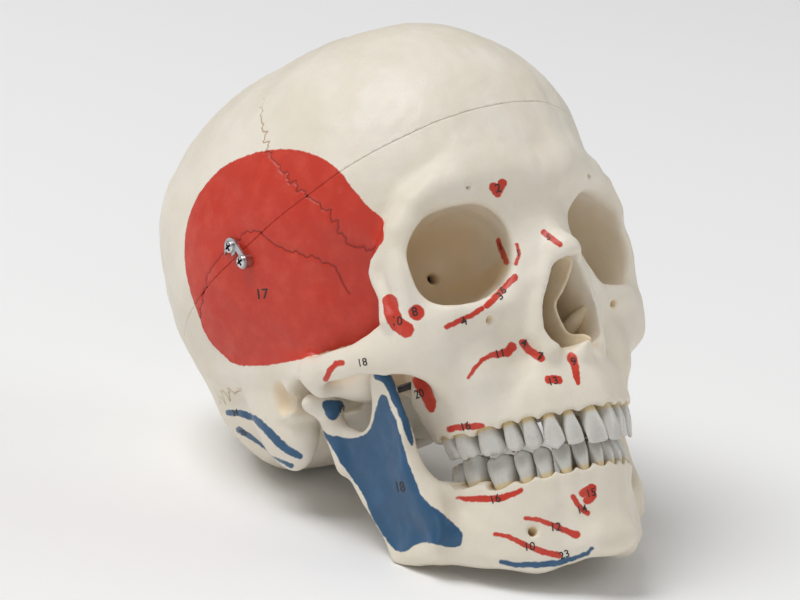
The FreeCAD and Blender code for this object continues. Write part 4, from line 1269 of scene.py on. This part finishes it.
def write_numbers(bone, body):
    """Thin painted digits that follow the bone under them."""
    surface = BVHTree.FromObject(bone, bpy.context.evaluated_depsgraph_get())
    up_frame = (TO_ROW.to_3x3() @ Vector((0, 0, 1))).normalized()
    reader = (TO_ROW.to_3x3() @ Vector(SIGHT[2])).normalized()
    points, faces = [], []
    for text, place, height, turn in NUMBERS[bone.name]:
        spot, normal, _, _ = surface.find_nearest(TO_ROW @ Vector(place))
        normal = (normal * 0.3 + reader).normalized()
        up = (up_frame - normal * up_frame.dot(normal)).normalized()
        up.rotate(Quaternion(normal, math.radians(turn)))
        across = up.cross(normal)
        curve = bpy.data.curves.new("digits", "FONT")
        curve.body, curve.size = text, height * 1.42e-3
        curve.align_x, curve.align_y = "CENTER", "CENTER"
        curve.extrude, curve.offset = 0.5, 0.00001 * height
        holder = bpy.data.objects.new("digits", curve)
        mesh = holder.to_mesh()
        start = len(points)
        for vertex in mesh.vertices:
            flat = spot + across * vertex.co.x + up * vertex.co.y
            hit, slope, _, _ = surface.ray_cast(flat + normal * 0.004, -normal, 0.012)
            points.append((hit or flat) + (slope or normal) * (0.00011 if vertex.co.z > 0 else -0.0002))
        faces += [[start + i for i in polygon.vertices] for polygon in mesh.polygons]
        holder.to_mesh_clear()
        bpy.data.objects.remove(holder)
        bpy.data.curves.remove(curve)
    obj = link_object("numbers_" + bone.name, mesh_of(points, faces))
    settle(obj, INK, "bone_plastic", body)


def tube(path, radius, sides=8):
    """Points and faces of a closed tube along a path, without twist."""
    path = np.array(path, float)
    ahead = np.gradient(path, axis=0)
    ahead /= np.linalg.norm(ahead, axis=1)[:, None]
    side = np.cross(ahead[0], (0.3, 0.5, 0.81))
    rings = []
    for p, t in zip(path, ahead):
        side = side - t * (side @ t)
        side /= np.linalg.norm(side)
        other = np.cross(t, side)
        angle = np.arange(sides) * 2 * np.pi / sides
        rings.append(p + radius * (np.cos(angle)[:, None] * side + np.sin(angle)[:, None] * other))
    count = len(path)
    points = np.concatenate(rings + [path[:1], path[-1:]])
    faces = []
    for i in range(count - 1):
        for j in range(sides):
            k = (j + 1) % sides
            faces.append([i * sides + j, i * sides + k, (i + 1) * sides + k, (i + 1) * sides + j])
    for j in range(sides):
        k = (j + 1) % sides
        faces.append([count * sides, k, j])
        faces.append([count * sides + 1, (count - 1) * sides + j, (count - 1) * sides + k])
    return points, faces


SPRING_R, SPRING_WIRE = 1.15, 0.36
JAW_PEG, SKULL_PEG = np.array((-47.2, -41.0, -18.0)), np.array((-22.4, -42.0, -15.0))


def build_spring(side):
    """A close-wound coil with an eye round the screw at each end."""
    flip = np.array((1 if side == "right" else -1, 1, 1))
    a, b = SKULL_PEG * flip, JAW_PEG * flip
    along = (b - a) / np.linalg.norm(b - a)
    u = np.cross(along, (0, 0, 1))
    u /= np.linalg.norm(u)
    v = np.cross(along, u)
    length, eye = np.linalg.norm(b - a), 1.5
    path = []
    for t in np.linspace(0, 1, 14):                   # eye round the skull screw
        angle = -math.pi + t * 1.8 * math.pi
        path.append(a + along * eye * math.cos(angle) + v * eye * math.sin(angle))
    turns = round((length - 2 * eye - 1.0) / (SPRING_WIRE * 1.25))
    for t in np.linspace(0, 1, turns * 14):
        angle = t * turns * 2 * math.pi
        centre = a + along * (eye + 0.5 + (length - 2 * eye - 1.0) * t)
        path.append(centre + SPRING_R * (u * math.cos(angle) + v * math.sin(angle)))
    for t in np.linspace(0, 1, 14):                   # eye round the jaw screw
        angle = t * 1.8 * math.pi
        path.append(b - along * eye * math.cos(angle) + v * eye * math.sin(angle))
    points, faces = tube(path, SPRING_WIRE / 2 * 1.1)
    points = np.array([TO_ROW @ Vector(p) for p in points])
    mesh = mesh_of(points.tolist(), faces)
    mesh.polygons.foreach_set("use_smooth", np.ones(len(mesh.polygons), bool))
    obj = link_object("spring_coil_" + side, mesh)
    obj.data.materials.append(DARK_STEEL)
    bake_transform(obj)
    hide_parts("jaw_spring_" + side)


SEPTUM = ((-96.5, 9.4), (-93.4, 3.2), (-88.2, -1.3), (-84.4, -4), (-84, -8.6), (-85.7, -14.8), (-93.5, -17.8),
          (-94, -21), (-70, -22), (-50, -20), (-42, -14), (-44, 6), (-60, 14), (-80, 20))


def build_nose_inside():
    """The bony septum with its ragged front edge, and the shells on the side walls."""
    step = BONE_STEP * 0.6
    sheet = plate(SEPTUM, lambda y, z: 0.5 * np.sin(y * 0.12) + 0.4 * np.sin(z * 0.3), 0.6, 0.4)
    plates = [("nasal_septum", *sampled(sheet.distance, (-4, -100, -24), (4, -38, 24), step, 1))]
    f = Field((0, -96, -22), (16, -42, 14), step)
    f.add(chain([(12.4, -84, -7), (11, -80, -9.5), (10, -75, -12), (9, -66, -12.5), (9, -50, -13)],
                [1.6, 2.6, 3, 3, 2]), 2)
    f.add(chain([(8.8, -76, 2), (7.8, -72, -0.5), (7, -66, -1), (7, -52, -1)], [1.4, 2.2, 2.4, 1.6]), 2)
    points, quads = surface_mesh(f.d, [a[0] for a in f.axes], step)
    points = relax(points, quads, 1)
    both = np.concatenate([points, points * (-1, 1, 1)])
    plates.append(("nasal_conchae", both, np.concatenate([quads, quads[:, ::-1] + len(points)])))
    for node, points, quads in plates:
        obj = make_object(node + "_bone", points, quads)
        # The septum and shells take the bone plastic that is painted darker as shade.
        settle(obj, SHADED_INSIDE, "bone_plastic", "skull_base", node)


PIN_FOOT, PIN_TIP, PIN_R = 6.0, 3.5, 1.2       # below and above the saw cut, and the radius
PIN_X, PIN_Y = 33.0, 66.5


def build_pins():
    """The two locating pins at the back, in the middle of the wall as it is sculpted."""
    normal = np.array((0, CUT_SLOPE, 1)) / math.hypot(CUT_SLOPE, 1)
    pins = []
    for x in (-PIN_X, PIN_X):
        middle = np.array((x, PIN_Y, CUT_HEIGHT - CUT_SLOPE * PIN_Y))
        shape = chain([middle - normal * (PIN_FOOT - PIN_R), middle + normal * (PIN_TIP - PIN_R)], PIN_R)
        pins.append(sampled(shape.distance, shape.low - 1, shape.high + 1, 0.25, 1))
    (a, faces_a), (b, faces_b) = pins
    obj = make_object("locating_pins_back", np.concatenate([a, b]), np.concatenate([faces_a, faces_b + len(a)]))
    settle(obj, CHROME, "bright_steel", "skull_base", "locating_pins_rear")


LATCH_SCREWS = (("latch_pivot_screw", "skull_base"), ("latch_catch_screw", "skullcap"))


def build_screws():
    """Cross-head screws of the latches, over the boxes of the plain ones."""
    step = 0.08
    for part, body in LATCH_SCREWS:
        for side in ("right", "left"):
            low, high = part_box(part + "_" + side)
            centre = (low + high) / 2 * 1000
            out = 1 if side == "left" else -1
            tip = (high.x if out > 0 else low.x) * 1000
            long, r = 3.0, (high.z - low.z) * 500

            def screw(x, y, z):
                round_r = np.hypot(y, z)
                head = round_max(round_r - r, np.maximum(x + 0.35 * (round_r / r) ** 2, -1.5 - x), 0.35)
                shank = np.maximum(round_r - r * 0.55, np.maximum(x + 1, -long - x))
                u, v = np.abs(y + z) * 0.7071, np.abs(y - z) * 0.7071
                arm = np.minimum(np.maximum(u - 0.42, v - 1.5), np.maximum(v - 0.42, u - 1.5))
                return np.maximum(np.minimum(head, shank), -np.maximum(arm, -0.85 - x))
            wide = r + 0.6
            points, quads = sampled(screw, (-long - 1, -wide, -wide), (1, wide, wide), step, 1)
            # How far down the cross recess each point lies, for the painted shade in it.
            depth = np.clip((np.hypot(points[:, 1], points[:, 2]) < r * 0.8) * (-points[:, 0] - 0.3) / 0.3, 0, 1)
            if out < 0:
                points, quads = points * (-1, 1, 1), quads[:, ::-1]
            points = (points + (tip, centre.y, centre.z)) / 1000
            obj = make_object(f"{part[6:]}_head_{side}", points, quads, to_row=False)
            set_values(obj, "neck", depth)
            settle(obj, SCREW, "bright_steel", body, part + "_" + side)


def finish_cad_nodes():
    """Materials of the pieces that the CAD model gives in full: hooks, washers, front pin and styloids."""
    for name, node in frame["nodes"].items():
        if name.startswith(("latch", "locating")):
            material = CHROME
        elif name.startswith("spring_screw"):
            material = DARK_STEEL
        else:
            # The rest take the bone plastic that is painted darker as shade.
            material = SHADED_INSIDE
        node.data.materials.clear()
        node.data.materials.append(material)


def build_stage():
    white = Nodes("paper")
    paper = white.finish((0.93, 0.93, 0.93), 0.9)
    bpy.ops.mesh.primitive_plane_add(size=6, location=(0, 0, 0))
    floor = bpy.context.object
    floor.name = "floor"
    floor.data.materials.append(paper)
    world = bpy.data.worlds.new("world")
    bpy.context.scene.world = world
    world.use_nodes = True
    world.node_tree.nodes["Background"].inputs[0].default_value = (1, 1, 1, 1)
    world.node_tree.nodes["Background"].inputs[1].default_value = 0.28


def aim(obj, place, target):
    obj.location = place
    obj.rotation_euler = (Vector(target) - Vector(place)).to_track_quat("-Z", "Y").to_euler()


def add_light(name, place, power, size, target=(0, 0, 0.085)):
    light = bpy.data.lights.new(name, "AREA")
    light.energy, light.size = power, size
    aim(link_object(name, light), place, target)


EYE = (-862.06, -998.67, -206.17)           # where the camera stands, in anatomical millimetres
LENS, SENSOR = 167.4, 36


def add_camera():
    """Low at the front right of the face, turned with the head as in the picture being matched."""
    turn = TO_ROW.to_3x3().normalized()
    right, up, back = (turn @ Vector(v) for v in SIGHT)
    camera = link_object("camera", bpy.data.cameras.new("camera"))
    matrix = Matrix((right, up, back)).transposed().to_4x4()
    matrix.translation = TO_ROW @ Vector(EYE)
    camera.matrix_world = matrix
    camera.data.lens, camera.data.sensor_width = LENS, SENSOR
    camera.data.clip_start = 0.05
    bpy.context.scene.camera = camera
    bpy.context.scene.view_settings.view_transform = "Standard"


finish_cad_nodes()
build_skull()
build_jaw()
build_teeth()
build_nose_inside()
build_screws()
build_pins()
for side in ("right", "left"):
    build_spring(side)
write_numbers(bpy.data.objects["skull_bone"], "skull_base")
write_numbers(bpy.data.objects["jaw_bone"], "jaw")
build_stage()
add_camera()
add_light("key", (-1.5, 0.8, 3.3), 94, 2.2)
add_light("side", (1.9, -1.2, 1.2), 12, 1.6)
add_light("front", (-1.3, -1.7, 0.5), 4, 1.0)
